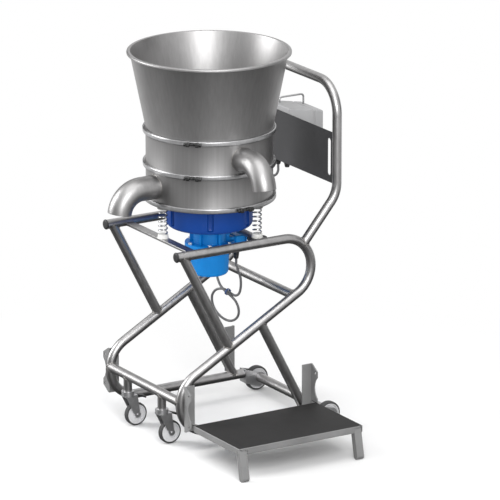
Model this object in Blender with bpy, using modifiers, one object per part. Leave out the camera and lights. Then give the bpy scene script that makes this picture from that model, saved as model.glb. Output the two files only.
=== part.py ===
"""A mobile vibrating sieve: a spring-borne sieving head on a bent-tube trolley.

Lengths are in metres, +Z is up and the floor is z = 0. -Y is the front, where the casters and the
collecting pan's outlet are, +Y is the operator's side with the push handle, and +X is the right.
Places are given from the sieve's own axis. The empty named machine then carries all of it, so that
the origin lies on the floor, midway between the ends of the machine in plan.
"""

import math

import bmesh
import bpy
import numpy as np
from mathutils import Matrix, Vector

# Common clearances and mesh fineness
GAP = 0.0003
OVERRUN = 0.010
TUBE_SIDES = 12
BEND_STEPS = 6
OUTLET_SIDES = 16
SHELL_STEPS = 32
DRUM_STEPS = 28
MOTOR_STEPS = 20
WHEEL_STEPS = 20
SMALL_STEPS = 12
MERGE = 0.00001
SMOOTH_ANGLE = math.radians(35)

# The sieve's cylinder, which everything round it follows
SIEVE_RADIUS = 0.200

# Trolley: two bent side frames, struts and crossbars of one tube
TUBE_RADIUS = 0.015
WELD_INSET = 0.005
FRAME_OUTSIDE_SIEVE = 0.0175
FRAME_HALF_WIDTH = SIEVE_RADIUS + FRAME_OUTSIDE_SIEVE
FRAME_TOP = 0.640
FRAME_BOTTOM = 0.062
FRAME_REAR = 0.240
FRAME_FRONT = -0.239
BEND_RADIUS = 0.0975
TOP_TUBE_OVERHANG = 0.010
TOP_TUBE_FRONT = FRAME_FRONT - TOP_TUBE_OVERHANG
BOTTOM_TUBE_OVERHANG = 0.0155
BOTTOM_TUBE_REAR = FRAME_REAR + BOTTOM_TUBE_OVERHANG
CAP_THICKNESS = 0.006
CAP_LIP = 0.0012
STRUT_ANGLE = math.radians(62.5)
FRONT_STRUT_FROM_END = 0.021
FRONT_STRUT_TOP = TOP_TUBE_FRONT + FRONT_STRUT_FROM_END
REAR_STRUT_FROM_END = 0.035
REAR_STRUT_FOOT = BOTTOM_TUBE_REAR - REAR_STRUT_FROM_END
UPPER_CROSSBAR_FROM_BEND = 0.062
UPPER_CROSSBAR_REAR = FRAME_REAR - UPPER_CROSSBAR_FROM_BEND

# Push handle and panel plate
HANDLE_SETBACK = 0.095
HANDLE_REAR = FRAME_REAR + HANDLE_SETBACK
HANDLE_TOP = 1.112
HANDLE_KNEE = 0.762
HANDLE_SLANT = math.radians(50)
PLATE_DROP = 0.159
PLATE_HEIGHT = 0.166
PLATE_TOP = HANDLE_TOP - PLATE_DROP
PLATE_BOTTOM = PLATE_TOP - PLATE_HEIGHT
PLATE_THICKNESS = 0.003
PLATE_SLOT_LENGTH = 0.120
PLATE_SLOT_WIDTH = 0.018
PLATE_SLOT_FROM_LEG = 0.044

# Control box on the back of the plate
BOX_FROM_LEG = 0.0045
BOX_WIDTH = 0.132
BOX_LEFT = BOX_FROM_LEG + TUBE_RADIUS - FRAME_HALF_WIDTH
BOX_RIGHT = BOX_LEFT + BOX_WIDTH
BOX_DEPTH = 0.128
BOX_ABOVE_PLATE = 0.018
BOX_HEIGHT = 0.181
BOX_TOP_FALL = 0.023
BOX_BOTTOM_RISE = 0.017
BOX_FRONT_TOP = PLATE_TOP + BOX_ABOVE_PLATE
BOX_FRONT_BOTTOM = BOX_FRONT_TOP - BOX_HEIGHT
BOX_REAR_TOP = BOX_FRONT_TOP - BOX_TOP_FALL
BOX_REAR_BOTTOM = BOX_FRONT_BOTTOM + BOX_BOTTOM_RISE
BOX_EDGE = 0.006
BUTTON_RADIUS = 0.011
BUTTON_LENGTH = 0.009
BUTTON_TRAVEL = 0.004
BUTTON_SPACING = 0.044
BUTTON_DROP = 0.098
BUTTON_HEIGHT = BOX_REAR_TOP - BUTTON_DROP
SWITCH_RADIUS = 0.016
SWITCH_LENGTH = 0.012
SWITCH_DROP = 0.036
SWITCH_HEIGHT = BOX_REAR_TOP - SWITCH_DROP
SWITCH_GRIP_WIDTH = 0.010
BEZEL_WALL = 0.003
BEZEL_HEIGHT = 0.005
HOOK_WIRE = 0.003
HOOK_WIDTH = 0.050
HOOK_DEPTH = 0.090
HOOK_RISE = 0.014

# Outlets of the pan and the deck
OUTLET_RADIUS = 0.038
OUTLET_WALL = 0.002
OUTLET_STUB = 0.049
OUTLET_BEND = 0.078
OUTLET_TURN = math.radians(80)
OUTLET_TIP = 0.004
OUTLET_ABOVE_JOINT = 0.014
OUTLET_LIFT = OUTLET_RADIUS + OUTLET_ABOVE_JOINT

# Sieving head: three shells stacked on the base plate
SHELL_WALL = 0.002
FLANGE_WIDTH = 0.005
FLANGE_RADIUS = SIEVE_RADIUS + FLANGE_WIDTH
FLANGE_THICKNESS = 0.003
GASKET_THICKNESS = 0.004
PAN_ROOM = 0.017
PAN_HEIGHT = OUTLET_LIFT + OUTLET_RADIUS + PAN_ROOM
DECK_ROOM = 0.019
DECK_HEIGHT = OUTLET_LIFT + OUTLET_RADIUS + DECK_ROOM
HOPPER_HEIGHT = 0.248
HOPPER_FLARE = 0.058
HOPPER_RIM_RADIUS = SIEVE_RADIUS + HOPPER_FLARE
RIM_LIP = 0.009
RIM_DEPTH = 0.008
PAN_FLOOR_LIFT = 0.013
PAN_FLOOR_RISE = 0.022

# Clamp rings
CLAMP_WALL = 0.0025
CLAMP_BOW = 0.002
CLAMP_RADIUS = FLANGE_RADIUS + CLAMP_BOW + CLAMP_WALL
LUG_LENGTH = 0.012
LUG_REACH = 0.016
LUG_HEIGHT = 0.013
LUG_SPACING = 0.030
BOLT_RADIUS = 0.0035
NUT_RADIUS = 0.006
NUT_LENGTH = 0.007

# Screen
SCREEN_RING_WIDTH = 0.010
SCREEN_THICKNESS = 0.0012

# Springs, and the bars that carry them
SPRING_FROM_SIEVE = 0.030
SPRING_CIRCLE = SIEVE_RADIUS - SPRING_FROM_SIEVE
SPRING_RADIUS = 0.013
SPRING_WIRE = 0.0022
SPRING_HEIGHT = 0.0814
SPRING_TURNS = 5.5
SPRING_POINTS_PER_TURN = 8
SPRING_SIDES = 6
CUP_RADIUS = 0.018
CUP_HEIGHT = 0.013
SPRING_BAR_WIDTH = 0.030
SPRING_BAR_THICKNESS = 0.008
SPRING_BAR_DROP = 0.002
SPRING_BAR_TOP = FRAME_TOP - SPRING_BAR_DROP
SEAT_RADIUS = 0.032
SEAT_STEP = 0.0005

# Base plate, drum and motor
BASE_PLATE_THICKNESS = 0.008
HEAD_JOINT = (SPRING_BAR_TOP + 2 * (CUP_HEIGHT + GAP) + SPRING_HEIGHT
              + BASE_PLATE_THICKNESS + GASKET_THICKNESS / 2)
DRUM_FROM_CUPS = 0.016
DRUM_RADIUS = SPRING_CIRCLE - CUP_RADIUS - DRUM_FROM_CUPS
DRUM_WALL = 0.018
DRUM_FLOOR = 0.010
DRUM_HEIGHT = 0.088
DRUM_FILLET = 0.014
DRUM_MOUTH = 0.034
POCKET_WIDTH = 0.020
POCKET_DEPTH = 0.010
POCKET_TOP_MARGIN = 0.008
POCKET_BOTTOM_MARGIN = 0.012
POCKETS = 6
NECK_RADIUS = 0.052
NECK_HEIGHT = 0.055
NECK_RIBS = 6
NECK_RIB_THICKNESS = 0.006
MOTOR_FLANGE_RADIUS = 0.0785
MOTOR_FLANGE_THICKNESS = 0.022
MOTOR_BODY_RADIUS = 0.063
MOTOR_BODY_HEIGHT = 0.083
MOTOR_FILLET = 0.010
SHAFT_RADIUS = 0.012
SHAFT_DEPTH = 0.120
SHAFT_CLEARANCE = 0.001
WEIGHT_FROM_WALL = 0.023
WEIGHT_RADIUS = DRUM_RADIUS - DRUM_WALL - WEIGHT_FROM_WALL
WEIGHT_THICKNESS = 0.016
WEIGHT_HUB_RADIUS = 0.026
WEIGHT_ANGLE = math.radians(150)
WEIGHT_MARGIN = 0.009
TERMINAL_WIDTH = 0.060
TERMINAL_DEPTH = 0.042
TERMINAL_HEIGHT = 0.048
TERMINAL_DROP = 0.045
TERMINAL_EDGE = 0.005
GLAND_RADIUS = 0.010
GLAND_END_RADIUS = 0.007
GLAND_HEX_RADIUS = 0.013
GLAND_HEX_LENGTH = 0.012
BOX_GLAND_LENGTH = 0.0242
MOTOR_GLAND_LENGTH = 0.0346
SPARE_GLAND_LENGTH = 0.022
SPARE_GLAND_SPACING = 0.054

# Step brackets and the folding step
BRACKET_BOTTOM = 0.075
BRACKET_HEIGHT = 0.148
BRACKET_TOP = BRACKET_BOTTOM + BRACKET_HEIGHT
BRACKET_REACH = 0.039
BRACKET_WAIST = 0.022
BRACKET_TIP = 0.008
BRACKET_THICKNESS = 0.004
BRACKET_STRIP_WIDTH = 0.036
BRACKET_OUTER = 0.234
BRACKET_HOLE_REACH = 0.027
BRACKET_HOLE_INSET = 0.026
BRACKET_HOLE_RADIUS = 0.0045
STEP_END_GAP = 0.0045
STEP_LENGTH = 2 * (BRACKET_OUTER - BRACKET_THICKNESS - STEP_END_GAP)
STEP_DEPTH = 0.272
STEP_EDGE_FROM_HINGE = 0.014
STEP_TOP_ABOVE_HINGE = 0.005
STEP_SHEET = 0.003
STEP_SKIRT = 0.022
STEP_EDGE = 0.0015
PIN_RADIUS = 0.0040
LEG_WIDTH = 0.021
LEG_THICKNESS = 0.005
LEG_SPLAY = math.radians(12)
LEG_FROM_EDGE = 0.0125
LEG_CLEARANCE = 0.0005

# Casters and rear wheels
CASTER_SPACING = 0.2115
CASTER_SWIVEL_FRONT = -0.240
CASTER_TRAIL = 0.028
CASTER_WHEEL_RADIUS = 0.0375
CASTER_WHEEL_WIDTH = 0.020
CASTER_STUB_RADIUS = 0.0135
FRONT_CROSSBAR_LIFT = 0.0085
FRONT_CROSSBAR_HEIGHT = FRAME_BOTTOM + BEND_RADIUS + FRONT_CROSSBAR_LIFT
CASTER_CROWN_ROOM = 0.026
CASTER_HEAD_RADIUS = 0.021
CASTER_HEAD_HEIGHT = 0.014
CASTER_CHEEK = 0.003
CASTER_HEAD_TOP = 2 * CASTER_WHEEL_RADIUS + CASTER_CROWN_ROOM + CASTER_CHEEK + CASTER_HEAD_HEIGHT
CASTER_CROWN_FRONT = 0.0168
CASTER_CROWN_REAR = 0.0273
CASTER_CHEEK_GAP = 0.003
CASTER_AXLE_RADIUS = 0.004
AXLE_CLEARANCE = 0.0006
PEDAL_WIDTH = 0.018
PEDAL_LENGTH = 0.034
PEDAL_THICKNESS = 0.005
PEDAL_TIP_SHARES = ((0.9, 0.45), (1, 0.4), (0.9, 0.25))
REAR_WHEEL_RADIUS = 0.040
REAR_WHEEL_WIDTH = 0.024
REAR_WHEEL_ROOM = 0.0105
REAR_AXLE_PLACE = BOTTOM_TUBE_REAR + REAR_WHEEL_RADIUS + REAR_WHEEL_ROOM
REAR_CHEEK = 0.004
REAR_CHEEK_GAP = 0.004
REAR_CHEEK_ROUND = 0.024
REAR_AXLE_RADIUS = 0.006
FORK_BRIDGE = 0.004
AXLE_CROSSBAR_LIFT = 0.007
AXLE_CROSSBAR_HEIGHT = REAR_WHEEL_RADIUS + AXLE_CROSSBAR_LIFT
TYRE_CROWN_SHARE = 0.45
TYRE_EDGE_SHARE = 0.25
WHEEL_WEB_SHARE = 0.3
WHEEL_HUB_SHARE = 0.25
WHEEL_RIM_SHARE = 0.72

# Motor cable, its route chosen by hand
CABLE_RADIUS = 0.004
CABLE_CLEARANCE = 0.0005
CABLE_ENTRY = 0.006
HEAD_ROOM = 0.008
CABLE_POINTS = 60
TIE_RADIUS = 0.0115
TIE_LENGTH = 0.006
CABLE_ROUTE = (
    (-0.158, 0.352, 0.7715), (-0.158, 0.352, 0.755), (-0.158, 0.352, 0.745), (-0.163, 0.349, 0.731),
    (-0.178, 0.341, 0.721),
    (-0.193, 0.326, 0.716), (-0.197, 0.305, 0.694), (-0.198, 0.278, 0.664), (-0.197, 0.252, 0.638),
    (-0.193, 0.223, 0.607), (-0.187, 0.191, 0.569), (-0.177, 0.159, 0.526), (-0.160, 0.130, 0.482),
    (-0.137, 0.109, 0.444), (-0.108, 0.102, 0.417), (-0.078, 0.104, 0.401), (-0.056, 0.112, 0.389),
    (-0.043, 0.123, 0.371), (-0.040, 0.131, 0.347), (-0.050, 0.136, 0.322), (-0.072, 0.137, 0.302),
    (-0.100, 0.133, 0.291), (-0.127, 0.123, 0.296), (-0.147, 0.111, 0.316), (-0.153, 0.102, 0.343),
    (-0.145, 0.097, 0.372), (-0.125, 0.100, 0.394), (-0.097, 0.110, 0.402), (-0.069, 0.117, 0.395),
    (-0.043, 0.120, 0.392), (-0.021, 0.121, 0.404), (-0.007, 0.119, 0.430), (0.000, 0.114, 0.462),
    (0.002, 0.104, 0.490), (0.000, 0.098, 0.508), (0.000, 0.098, 0.519), (0.000, 0.098, 0.5355),
)
TIE_PLACE = (-0.0735, 0.1105, 0.3985)
TIE_DIRECTION = (0.93, 0.27, -0.27)

for leftover in list(bpy.data.objects):
    bpy.data.objects.remove(leftover, do_unlink=True)

PARTS = bpy.data.collections.new("vibrating_sieve")
CUTTERS = bpy.data.collections.new("cutters")
for collection in (PARTS, CUTTERS):
    bpy.context.scene.collection.children.link(collection)


def finish(name, colour, metallic, roughness):
    """A Principled material; colour is linear red, green and blue."""
    material = bpy.data.materials.new(name)
    material.use_nodes = True
    shader = material.node_tree.nodes["Principled BSDF"]
    shader.inputs["Base Color"].default_value = (*colour, 1)
    shader.inputs["Metallic"].default_value = metallic
    shader.inputs["Roughness"].default_value = roughness
    material.diffuse_color = (*colour, 1)
    return material


def steel(name):
    return finish(name, (0.42, 0.42, 0.43), 1, 0.32)


def satin_steel(name):
    return finish(name, (0.36, 0.36, 0.37), 1, 0.45)


def plated(name):
    return finish(name, (0.55, 0.55, 0.56), 0.9, 0.4)


def charcoal(name):
    return finish(name, (0.035, 0.035, 0.036), 0.3, 0.5)


def navy(name):
    return finish(name, (0.010, 0.035, 0.19), 0, 0.35)


def azure(name):
    return finish(name, (0.0, 0.26, 0.80), 0, 0.4)


def black(name):
    return finish(name, (0.012, 0.012, 0.013), 0, 0.55)


def rubber(name):
    return finish(name, (0.05, 0.05, 0.052), 0, 0.8)


def grey_paint(name):
    return finish(name, (0.38, 0.38, 0.38), 0, 0.5)


def red(name):
    return finish(name, (0.55, 0.02, 0.02), 0, 0.4)


def green(name):
    return finish(name, (0.02, 0.25, 0.05), 0, 0.4)


def empty(name, parent=None, location=(0, 0, 0)):
    """A joint's or a group's axis."""
    axis = bpy.data.objects.new(name, None)
    PARTS.objects.link(axis)
    axis.parent = parent
    axis.location = location
    return axis


MACHINE = empty("machine")
HEAD = empty("sieving_head_axis", MACHINE)


def part(name, data, look, parent=MACHINE, location=(0, 0, 0)):
    """One named piece with a material of its own."""
    piece = bpy.data.objects.new(name, data)
    PARTS.objects.link(piece)
    piece.parent = parent
    piece.location = location
    data.materials.append(look(name + "_finish"))
    if isinstance(data, bpy.types.Mesh) and data.polygons:
        data.shade_smooth()
        data.set_sharp_from_angle(angle=SMOOTH_ANGLE)
    return piece


def tool(name, data, parent=MACHINE, location=(0, 0, 0)):
    """A hidden shape that a Boolean cuts with or joins on."""
    shape = bpy.data.objects.new(name, data)
    CUTTERS.objects.link(shape)
    shape.parent = parent
    shape.location = location
    shape.hide_render = True
    shape.display_type = "WIRE"
    return shape


def combine(piece, shape, operation):
    modifier = piece.modifiers.new(shape.name, "BOOLEAN")
    modifier.operation = operation
    modifier.object = shape
    return piece


def join(piece, *shapes):
    for shape in shapes:
        combine(piece, shape, "UNION")
    return piece


def cut(piece, *shapes):
    for shape in shapes:
        combine(piece, shape, "DIFFERENCE")
    return piece


def box_mesh(name, low, high):
    """A box from its lowest to its highest corner."""
    mesh = bpy.data.meshes.new(name)
    shape = bmesh.new()
    bmesh.ops.create_cube(shape, size=1)
    low, high = Vector(low), Vector(high)
    size = high - low
    bmesh.ops.transform(shape, verts=shape.verts,
                        matrix=Matrix.Translation((low + high) / 2) @ Matrix.Diagonal((*size, 1)))
    shape.to_mesh(mesh)
    shape.free()
    return mesh


def rod_mesh(name, start, end, radius, sides=TUBE_SIDES, end_radius=None):
    """A round bar, or a taper, between two points."""
    start, end = Vector(start), Vector(end)
    along = end - start
    mesh = bpy.data.meshes.new(name)
    shape = bmesh.new()
    bmesh.ops.create_cone(shape, cap_ends=True, segments=sides, radius1=radius,
                          radius2=radius if end_radius is None else end_radius, depth=along.length)
    turn = along.to_track_quat("Z", "Y").to_matrix().to_4x4()
    bmesh.ops.transform(shape, verts=shape.verts, matrix=Matrix.Translation((start + end) / 2) @ turn)
    shape.to_mesh(mesh)
    shape.free()
    return mesh


def bevelled(piece, width, segments=2):
    modifier = piece.modifiers.new("rounded_edges", "BEVEL")
    modifier.width = width
    modifier.segments = segments
    modifier.limit_method = "ANGLE"
    return piece


def turned(piece, steps=SHELL_STEPS, axis="Z"):
    """Turns the profile that a piece's mesh holds about an axis through its origin."""
    modifier = piece.modifiers.new("turned", "SCREW")
    modifier.axis = axis
    modifier.steps = modifier.render_steps = steps
    modifier.use_merge_vertices = True
    modifier.merge_threshold = MERGE
    modifier.use_smooth_shade = True
    return piece


def profile_mesh(name, points, closed=True):
    """A profile of (radius, height) points that runs down its outer side."""
    mesh = bpy.data.meshes.new(name)
    corners = [(radius, 0, height) for radius, height in points]
    edges = [(i, i + 1) for i in range(len(corners) - 1)]
    if closed:
        edges.append((len(corners) - 1, 0))
    mesh.from_pydata(corners, edges, [])
    return mesh


def arc(centre, radius, first, last, steps):
    """Points along an arc in a plane, ends included; the angles are in radians."""
    turns = np.linspace(first, last, steps + 1)
    return [(centre[0] + radius * math.cos(t), centre[1] + radius * math.sin(t)) for t in turns]


def filleted(corners, radius, steps=BEND_STEPS):
    """A path through the corners, with an arc of one radius at each inner corner."""
    corners = [Vector(corner) for corner in corners]
    path = [corners[0]]
    for before, here, after in zip(corners, corners[1:], corners[2:]):
        back, on = (before - here).normalized(), (after - here).normalized()
        half = back.angle(on) / 2
        centre = here + (back + on).normalized() * radius / math.sin(half)
        first = here + back * radius / math.tan(half) - centre
        last = here + on * radius / math.tan(half) - centre
        normal = first.cross(last).normalized()
        sweep = math.pi - 2 * half
        path += [centre + Matrix.Rotation(sweep * i / steps, 3, normal) @ first for i in range(steps + 1)]
    return path + [corners[-1]]


def tube_curve(name, path, radius, sides=TUBE_SIDES):
    curve = bpy.data.curves.new(name, "CURVE")
    curve.dimensions = "3D"
    curve.bevel_depth = radius
    curve.bevel_resolution = (sides - 4) // 2
    curve.use_fill_caps = True
    spline = curve.splines.new("POLY")
    spline.points.add(len(path) - 1)
    for point, place in zip(spline.points, path):
        point.co = (*place, 1)
    return curve


def plate_curve(name, outlines, thickness):
    """A flat plate in its own XY plane; outlines after the first are its holes."""
    curve = bpy.data.curves.new(name, "CURVE")
    curve.dimensions = "2D"
    curve.fill_mode = "BOTH"
    curve.extrude = thickness / 2
    for outline in outlines:
        spline = curve.splines.new("POLY")
        spline.points.add(len(outline) - 1)
        for point, place in zip(spline.points, outline):
            point.co = (*place, 0, 1)
        spline.use_cyclic_u = True
    return curve


def meshed(curve, matrix=None):
    """The curve's solid as a mesh, its caps welded, turned and placed by the matrix."""
    guide = bpy.data.objects.new(curve.name, curve)
    CUTTERS.objects.link(guide)
    bpy.context.view_layer.update()
    mesh = bpy.data.meshes.new_from_object(guide.evaluated_get(bpy.context.evaluated_depsgraph_get()))
    bpy.data.objects.remove(guide)
    shape = bmesh.new()
    shape.from_mesh(mesh)
    bmesh.ops.remove_doubles(shape, verts=shape.verts, dist=MERGE)
    if matrix is not None:
        bmesh.ops.transform(shape, verts=shape.verts, matrix=matrix)
    bmesh.ops.recalc_face_normals(shape, faces=shape.faces)
    shape.to_mesh(mesh)
    shape.free()
    return mesh


def smooth_route(points, count):
    """Evenly spread points on a Catmull-Rom curve through the route's points."""
    knots = np.array([points[0], *points, points[-1]])
    fine = []
    for before, here, ahead, beyond in zip(knots, knots[1:], knots[2:], knots[3:]):
        for t in np.linspace(0, 1, 12, endpoint=False):
            fine.append(0.5 * (2 * here + (ahead - before) * t
                               + (2 * before - 5 * here + 4 * ahead - beyond) * t ** 2
                               + (3 * here - before - 3 * ahead + beyond) * t ** 3))
    fine = np.array([*fine, knots[-1]])
    lengths = np.concatenate([[0], np.cumsum(np.linalg.norm(np.diff(fine, axis=0), axis=1))])
    wanted = np.linspace(0, lengths[-1], count)
    return np.column_stack([np.interp(wanted, lengths, fine[:, i]) for i in range(3)])


# Axes of the standing plates: a plate drawn in (Y, Z) faces X, one drawn in (X, Z) faces Y
FACING_X = Matrix(((0, 0, 1, 0), (1, 0, 0, 0), (0, 1, 0, 0), (0, 0, 0, 1)))
FACING_Y = Matrix(((1, 0, 0, 0), (0, 0, -1, 0), (0, 1, 0, 0), (0, 0, 0, 1)))
SIDES = {"right": 1, "left": -1}


def side_path(x):
    """The bent tube's centreline: top tube, rear bend, diagonal, front bend, bottom tube."""
    upper = Vector((FRAME_REAR - BEND_RADIUS, FRAME_TOP - BEND_RADIUS))
    lower = Vector((FRAME_FRONT + BEND_RADIUS, FRAME_BOTTOM + BEND_RADIUS))
    between = upper - lower
    slope = math.tan(diagonal_angle())
    middle = (upper + lower) / 2
    corner_rise = FRAME_TOP - middle.y
    corner_reach = corner_rise / slope
    corners = [(x, TOP_TUBE_FRONT, FRAME_TOP), (x, middle.x + corner_reach, FRAME_TOP),
               (x, middle.x - corner_reach, FRAME_BOTTOM), (x, BOTTOM_TUBE_REAR, FRAME_BOTTOM)]
    return filleted(corners, BEND_RADIUS)


def diagonal_angle():
    """Slope of the line that touches the rear bend from below and the front bend from above."""
    reach = FRAME_REAR - FRAME_FRONT - 2 * BEND_RADIUS
    rise = FRAME_TOP - FRAME_BOTTOM - 2 * BEND_RADIUS
    return math.atan2(rise, reach) - math.asin(2 * BEND_RADIUS / math.hypot(reach, rise))


def diagonal_height(y):
    middle_y = (FRAME_REAR + FRAME_FRONT) / 2
    middle_z = (FRAME_TOP + FRAME_BOTTOM) / 2
    return middle_z + (y - middle_y) * math.tan(diagonal_angle())


def strut_crossing(y, z):
    """Where a strut's line through (y, z) crosses the diagonal."""
    fall, slope = math.tan(STRUT_ANGLE), math.tan(diagonal_angle())
    step = (z - diagonal_height(y)) / (fall + slope)
    return y + step, diagonal_height(y + step)


SIDE_CLEARANCE = {}


def make_side_frames():
    for side, sign in SIDES.items():
        path = side_path(sign * FRAME_HALF_WIDTH)
        part("side_frame_" + side, tube_curve("side_frame_" + side, path, TUBE_RADIUS), steel)
        clearance = tube_curve("side_clearance_" + side, path, TUBE_RADIUS + GAP)
        SIDE_CLEARANCE[side] = tool("side_clearance_" + side, meshed(clearance))
        cap_face = Vector(path[0])
        cap = rod_mesh("end_cap_" + side, cap_face - Vector((0, CAP_THICKNESS + GAP, 0)),
                       cap_face - Vector((0, GAP, 0)), TUBE_RADIUS + CAP_LIP, SMALL_STEPS)
        part("end_cap_" + side, cap, black)


def make_struts():
    for side, sign in SIDES.items():
        x = sign * FRAME_HALF_WIDTH
        ends = {"front": (FRONT_STRUT_TOP, FRAME_TOP), "rear": (REAR_STRUT_FOOT, FRAME_BOTTOM)}
        for end, (y, z) in ends.items():
            start, stop = Vector((x, y, z)), Vector((x, *strut_crossing(y, z)))
            inset = (stop - start).normalized() * WELD_INSET
            mesh = rod_mesh("%s_strut_%s" % (end, side), start + inset, stop - inset, TUBE_RADIUS)
            cut(part("%s_strut_%s" % (end, side), mesh, steel), SIDE_CLEARANCE[side])


def make_crossbars():
    half = FRAME_HALF_WIDTH - WELD_INSET
    height = diagonal_height(UPPER_CROSSBAR_REAR)
    upper = rod_mesh("rear_upper_crossbar", (-half, UPPER_CROSSBAR_REAR, height),
                     (half, UPPER_CROSSBAR_REAR, height), TUBE_RADIUS)
    cut(part("rear_upper_crossbar", upper, steel), *SIDE_CLEARANCE.values())

    front = (FRAME_FRONT, FRONT_CROSSBAR_HEIGHT)
    bar = part("front_lower_crossbar", rod_mesh("front_lower_crossbar", (-half, *front), (half, *front),
                                                TUBE_RADIUS), steel)
    for side, sign in SIDES.items():
        x = sign * CASTER_SPACING / 2
        stub = rod_mesh("caster_stub_" + side, (x, CASTER_SWIVEL_FRONT, FRONT_CROSSBAR_HEIGHT),
                        (x, CASTER_SWIVEL_FRONT, CASTER_HEAD_TOP + GAP), CASTER_STUB_RADIUS)
        join(bar, tool("caster_stub_" + side, stub))
    cut(bar, *SIDE_CLEARANCE.values())

    reach = FRAME_HALF_WIDTH - REAR_WHEEL_WIDTH / 2 - REAR_CHEEK_GAP - REAR_CHEEK - GAP
    axle_bar = rod_mesh("rear_axle_crossbar", (-reach, REAR_AXLE_PLACE, AXLE_CROSSBAR_HEIGHT),
                        (reach, REAR_AXLE_PLACE, AXLE_CROSSBAR_HEIGHT), TUBE_RADIUS)
    part("rear_axle_crossbar", axle_bar, steel)


def handle_foot():
    """Where a slanting leg of the handle meets the rear bend's centreline, short of it by the inset."""
    knee = Vector((HANDLE_REAR, HANDLE_KNEE))
    down = Vector((-math.cos(HANDLE_SLANT), -math.sin(HANDLE_SLANT)))
    centre = Vector((FRAME_REAR - BEND_RADIUS, FRAME_TOP - BEND_RADIUS)) - knee
    nearest = centre.dot(down)
    off = (centre - down * nearest).length
    return knee + down * (nearest - math.sqrt(BEND_RADIUS ** 2 - off ** 2) - WELD_INSET)


def make_handle():
    half = FRAME_HALF_WIDTH
    foot = handle_foot()
    corners = [(half, *foot), (half, HANDLE_REAR, HANDLE_KNEE),
               (half, HANDLE_REAR, HANDLE_TOP), (-half, HANDLE_REAR, HANDLE_TOP),
               (-half, HANDLE_REAR, HANDLE_KNEE), (-half, *foot)]
    path = filleted(corners, BEND_RADIUS)
    hoop = part("push_handle", meshed(tube_curve("push_handle", path, TUBE_RADIUS)), steel)
    cut(hoop, *SIDE_CLEARANCE.values())


def slot_outline(centre, length, width, steps=6):
    """A rounded slot that stands upright."""
    straight = (length - width) / 2
    top = arc((centre[0], centre[1] + straight), width / 2, 0, math.pi, steps)
    bottom = arc((centre[0], centre[1] - straight), width / 2, math.pi, 2 * math.pi, steps)
    return top + bottom


def make_panel_plate():
    half = FRAME_HALF_WIDTH - TUBE_RADIUS - GAP
    middle = (PLATE_BOTTOM + PLATE_TOP) / 2
    outline = [(-half, PLATE_BOTTOM), (half, PLATE_BOTTOM), (half, PLATE_TOP), (-half, PLATE_TOP)]
    slot_x = FRAME_HALF_WIDTH - PLATE_SLOT_FROM_LEG
    slots = [slot_outline((sign * slot_x, middle), PLATE_SLOT_LENGTH, PLATE_SLOT_WIDTH) for sign in (1, -1)]
    mesh = meshed(plate_curve("panel_plate", [outline, *slots], PLATE_THICKNESS), FACING_Y)
    part("panel_plate", mesh, charcoal, location=(0, HANDLE_REAR, 0))


def box_front():
    return HANDLE_REAR + PLATE_THICKNESS / 2 + GAP


def make_control_box():
    front, rear = box_front(), box_front() + BOX_DEPTH
    outline = [(front, BOX_FRONT_BOTTOM), (rear, BOX_REAR_BOTTOM), (rear, BOX_REAR_TOP),
               (front, BOX_FRONT_TOP)]
    middle = (BOX_LEFT + BOX_RIGHT) / 2
    turn = Matrix.Translation((middle, 0, 0)) @ FACING_X
    case = part("control_box", meshed(plate_curve("control_box", [outline], BOX_RIGHT - BOX_LEFT), turn),
                grey_paint)
    bevelled(case, BOX_EDGE)
    hook_z = (BOX_FRONT_TOP + BOX_REAR_TOP) / 2
    near, far = front + (BOX_DEPTH - HOOK_DEPTH) / 2, rear - (BOX_DEPTH - HOOK_DEPTH) / 2
    left = middle - HOOK_WIDTH / 2
    hook_path = filleted([(left, near, hook_z), (left, near, BOX_FRONT_TOP + HOOK_RISE),
                          (left, far, BOX_FRONT_TOP + HOOK_RISE), (left, far, hook_z - HOOK_RISE)],
                         HOOK_RISE / 2, 4)
    join(case, tool("lifting_loop", meshed(tube_curve("lifting_loop", hook_path, HOOK_WIRE, 8))))
    for name, x, z, radius in panel_fittings():
        bore_depth = BUTTON_TRAVEL + BEZEL_HEIGHT + GAP
        # The bore's flats, not its corners, clear the knob, so that the switch can turn.
        bore_radius = (radius + GAP) / math.cos(math.pi / SMALL_STEPS)
        bezel = rod_mesh(name + "_bezel", (x, rear - OVERRUN, z), (x, rear + BEZEL_HEIGHT, z),
                         bore_radius + BEZEL_WALL, SMALL_STEPS)
        bore = rod_mesh(name + "_bore", (x, rear + BEZEL_HEIGHT - bore_depth, z),
                        (x, rear + BEZEL_HEIGHT + OVERRUN, z), bore_radius, SMALL_STEPS)
        join(case, tool(name + "_bezel", bezel))
        cut(case, tool(name + "_bore", bore))
    spare = (CABLE_ROUTE[0][0] + SPARE_GLAND_SPACING, CABLE_ROUTE[0][1], BOX_FRONT_BOTTOM)
    join(case, tool("spare_gland", rod_mesh("spare_gland", (0, 0, OVERRUN), (0, 0, -SPARE_GLAND_LENGTH),
                                            GLAND_RADIUS, 12, GLAND_END_RADIUS), location=spare))


def panel_fittings():
    """Name, place and radius of what the operator presses or turns on the box's rear face."""
    middle = (BOX_LEFT + BOX_RIGHT) / 2
    return (("start_button", middle - BUTTON_SPACING / 2, BUTTON_HEIGHT, BUTTON_RADIUS),
            ("stop_button", middle + BUTTON_SPACING / 2, BUTTON_HEIGHT, BUTTON_RADIUS),
            ("main_switch", middle, SWITCH_HEIGHT, SWITCH_RADIUS))


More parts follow.
